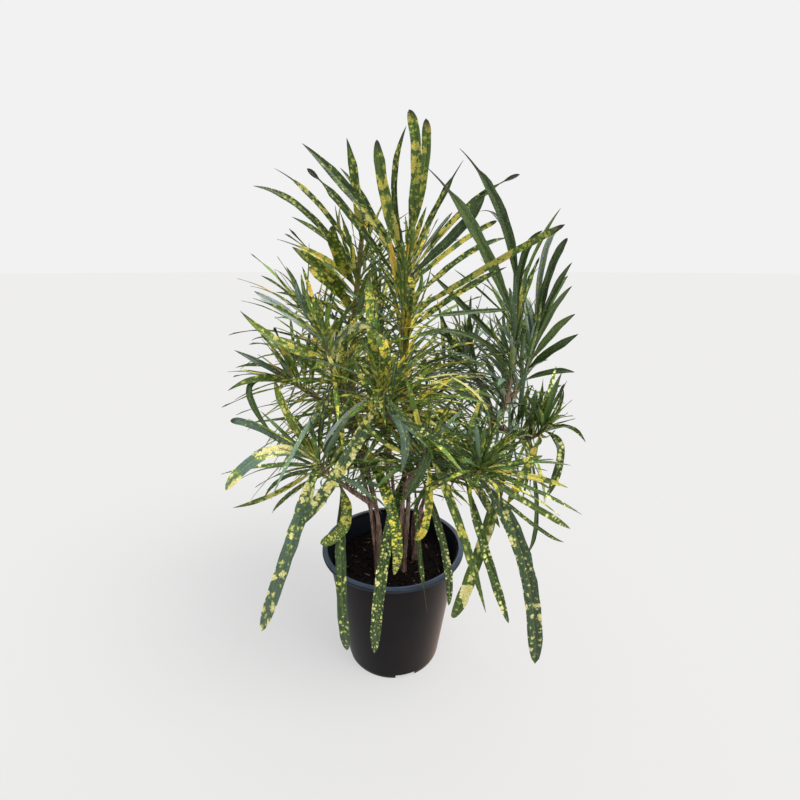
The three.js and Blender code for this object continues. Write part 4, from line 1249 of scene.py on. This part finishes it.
def blade_ways(leaf, t):
    """The ways across a blade and out of its face, at shares of its length."""
    heading = leaf.headings(t)
    if leaf.level is None:
        side = np.cross(heading, FRONT)
        weak = np.linalg.norm(side, axis=1) < 0.3
        side[weak] = (1, 0, 0)
    else:
        side = np.tile(leaf.level, (len(heading), 1))
    side = side - heading * (side * heading).sum(1)[:, None]
    side = side / np.linalg.norm(side, axis=1)[:, None]
    rolled = leaf.roll + (lean_of(leaf) if leaf.level is None else 0)
    turn = np.radians(rolled + TWIST * (t - 0.5))[:, None]
    side = side * np.cos(turn) + np.cross(heading, side) * np.sin(turn)
    return side, np.cross(side, heading)


def bent_blade(blank, leaf, share):
    """The blank's points moved along a leaf's line, folded, waved and twisted, and the flat blade under
    them. The blade has a share of the leaf's full width."""
    t, across, level = blank.T
    draw = np.random.default_rng(int(leaf.pick * 1e6))
    phase, lilt, fold = draw.uniform(0, 6.28), draw.uniform(0, 6.28), draw.uniform(*FOLDS)
    waves = leaf.length() / draw.uniform(*WAVE_LENGTHS)
    edge = np.abs(across)
    wavy = np.sin(math.pi * np.clip(t * 1.05, 0, 1))
    width = half_width(leaf, t, share)
    width = width * (1 + SIDE_WAVE * wavy * np.sin(waves * 5.1 * t + phase + 2 * np.sign(across)))
    rise = width * edge * fold * (1.25 - 0.6 * t) + CUPPING * width * np.sin(math.pi * edge)
    beat = 2 * math.pi * waves * t / 2 + lilt + 2.2 * (across > 0)
    rise += EDGE_WAVE * width * edge**2 * wavy * np.sin(beat)
    rise += LONG_WAVE * leaf.length() * wavy * np.sin(4.2 * t + phase)
    thick = raised(BLADE_HALF_THICKNESS, 1 - smooth(t, 0.0, 0.16)) * (1 - 0.5 * edge**1.5)
    rib = np.where((level < 0) & (edge < RIB_SHARE), RIB_DEPTH * (1 - t), 0)
    rise += level * thick - rib
    side, face = blade_ways(leaf, t)
    points = leaf.points(t) - side * (across * width)[:, None] + face * rise[:, None]
    return points, np.column_stack((t * leaf.length(), across * width))


def leaf_notes(leaf, blank, kind):
    """What the leaf's material reads: how it is marked and how light it is, for all of it or each point."""
    mark, t = MARKINGS[leaf.marking], blank[:, 0]
    size = mark.size * raised(SPOT_SIZES, leaf.pick)
    spread = math.sqrt(-math.log(1 - mark.share) / math.pi)
    light = kind.tone * (1 + kind.swing * ((leaf.pick * 7.3 % 1) - 0.5))
    return {
        "pick": leaf.pick, "grain": 1 / (size * MM), "drawn": mark.drawn, "warm": mark.warm,
        "cool": mark.cool, "dull": mark.dull, "tone": min(light, raised(LIGHTEST, mark.cool)),
        "spread": spread * (1 + mark.fade * (FADE_MIDDLE - t)), "dry": dry_end(leaf, t),
        "under": blank[:, 2] < 0,
    }


def foliage(kind, shoot, leaves, blank, faces, material):
    """One piece of many blades, with the notes of each leaf stored on its points."""
    blades = [bent_blade(blank, leaf, kind.share) for leaf in leaves]
    points = np.vstack([bent * MM for bent, flat in blades])
    flats = np.vstack([flat * MM for bent, flat in blades])
    piece = mesh_piece(kind.prefix + shoot.name, points, copies(faces, len(blank), len(leaves)))
    mesh = piece.data
    notes = [leaf_notes(leaf, blank, kind) for leaf in leaves]
    for key in NOTES:
        values = np.concatenate([np.broadcast_to(note[key], len(blank)) for note in notes])
        attribute = mesh.attributes.new(key, "FLOAT", "POINT")
        attribute.data.foreach_set("value", values.astype(np.float32))
    corners = np.empty(len(mesh.loops), np.int32)
    mesh.loops.foreach_get("vertex_index", corners)
    layer = mesh.uv_layers.new(name="blade")
    layer.data.foreach_set("uv", flats[corners].astype(np.float32).ravel())
    smooth_shaded(piece, 50)
    mesh.materials.append(material)
    stand_for(piece, "leaf_plain" if shoot.leaves.mix == "plain" else "leaf_spotted", shoot.stem)


def make_leaves():
    features, fillers = grow_leaves()
    material = leaf_material()
    kinds = [(kind, leaves, *blade_blank(kind.along, kind.across))
             for kind, leaves in ((PLACED_LEAVES, features), (LEAF_TUFTS, fillers))]
    for shoot in SHOOTS:
        for kind, leaves, blank, faces in kinds:
            own = [leaf for leaf in leaves if leaf.shoot is shoot]
            if own:
                foliage(kind, shoot, own, blank, faces, material)


# --- Camera, floor and light ------------------------------------------------------------------------

CAMERA_PLACE = (0.0098, -0.558, 0.554)
CAMERA_PITCH = 16.7  # degrees down
LENS = 20.25
BACKGROUND = 0.887
SKY_LOW, SKY_HIGH = 0.45, 1.12  # strength at the horizon and overhead
SKY_RIGHT = 0.58  # how much brighter it is towards the right
SKY_COOL, SKY_WARM = (0.93, 0.98, 1.06, 1), (1.06, 0.99, 0.93, 1)  # its colour at the left and the right
SUN = 2.2
SUN_FROM = (0.62, -0.38, 1.0)
SUN_WIDTH = 38  # degrees
SUN_COLOUR = (1.0, 0.98, 0.95)
FLOOR_RADIUS = 40
FLOOR_TONE = 0.24
FLOOR_GLOW = 0.51
WHITE = (1, 1, 1, 1)


def make_camera():
    deselect_all()
    bpy.ops.object.camera_add(location=CAMERA_PLACE, rotation=(math.radians(90 - CAMERA_PITCH), 0, 0))
    camera = bpy.context.object
    camera.data.lens = LENS
    camera.data.sensor_width = 36
    camera.data.clip_start = 0.01
    bpy.context.scene.camera = camera


def make_floor():
    """A wide white floor that shows the plant's shade, and glows a little to match the backdrop."""
    deselect_all()
    bpy.ops.mesh.primitive_circle_add(vertices=64, radius=FLOOR_RADIUS, fill_type="NGON", location=(0, 0, 0))
    floor = bpy.context.object
    floor.name = "floor"
    white = Recipe(
        "floor_white", Roughness=0.9, Specular_IOR_Level=0.0, Emission_Color=WHITE,
        Base_Color=(FLOOR_TONE, FLOOR_TONE, FLOOR_TONE, 1), Emission_Strength=FLOOR_GLOW)
    floor.data.materials.append(white.material)


def make_sun():
    deselect_all()
    bpy.ops.object.light_add(type="SUN", location=(1, -0.6, 2))
    sun = bpy.context.object
    sun.rotation_euler = Vector(SUN_FROM).to_track_quat("Z", "Y").to_euler()
    sun.data.energy = SUN
    sun.data.angle = math.radians(SUN_WIDTH)
    sun.data.color = SUN_COLOUR


def make_sky():
    """Light from all round, brighter from above and from the right, before a plain white backdrop."""
    world = bpy.data.worlds.new("studio")
    bpy.context.scene.world = world
    world.use_nodes = True
    world.node_tree.nodes.clear()
    nodes = Nodes(world.node_tree)
    way = nodes.add("TexCoord", {}, "Generated")
    upward, rightward = nodes.part(way, "Z"), nodes.part(way, "X")
    rise = nodes.add("MapRange", {"Value": upward, "To Min": SKY_LOW, "To Max": SKY_HIGH})
    right = nodes.add("MapRange", {
        "Value": rightward, "From Min": -1, "To Min": 1 - SKY_RIGHT, "To Max": 1 + SKY_RIGHT})
    warmth = nodes.add("MapRange", {"Value": rightward, "From Min": -1})
    colour = nodes.mix(warmth, SKY_COOL, SKY_WARM)
    sky = nodes.add("Background", {"Color": colour, "Strength": nodes.times(rise, right)})
    backdrop = nodes.add("Background", {"Color": WHITE, "Strength": BACKGROUND})
    seen = nodes.add("LightPath", {}, "Is Camera Ray")
    output = nodes.tree.nodes.new("ShaderNodeOutputWorld")
    nodes.tree.links.new(nodes.add("MixShader", {0: seen, 1: sky, 2: backdrop}), output.inputs["Surface"])
    bpy.context.scene.view_settings.view_transform = "Standard"


make_camera()
make_floor()
make_sun()
make_sky()
make_pot()
make_soil()
bark = bark_material()
for stem in STEMS:
    make_wood(stem, bark)
make_leaves()

deselect_all()
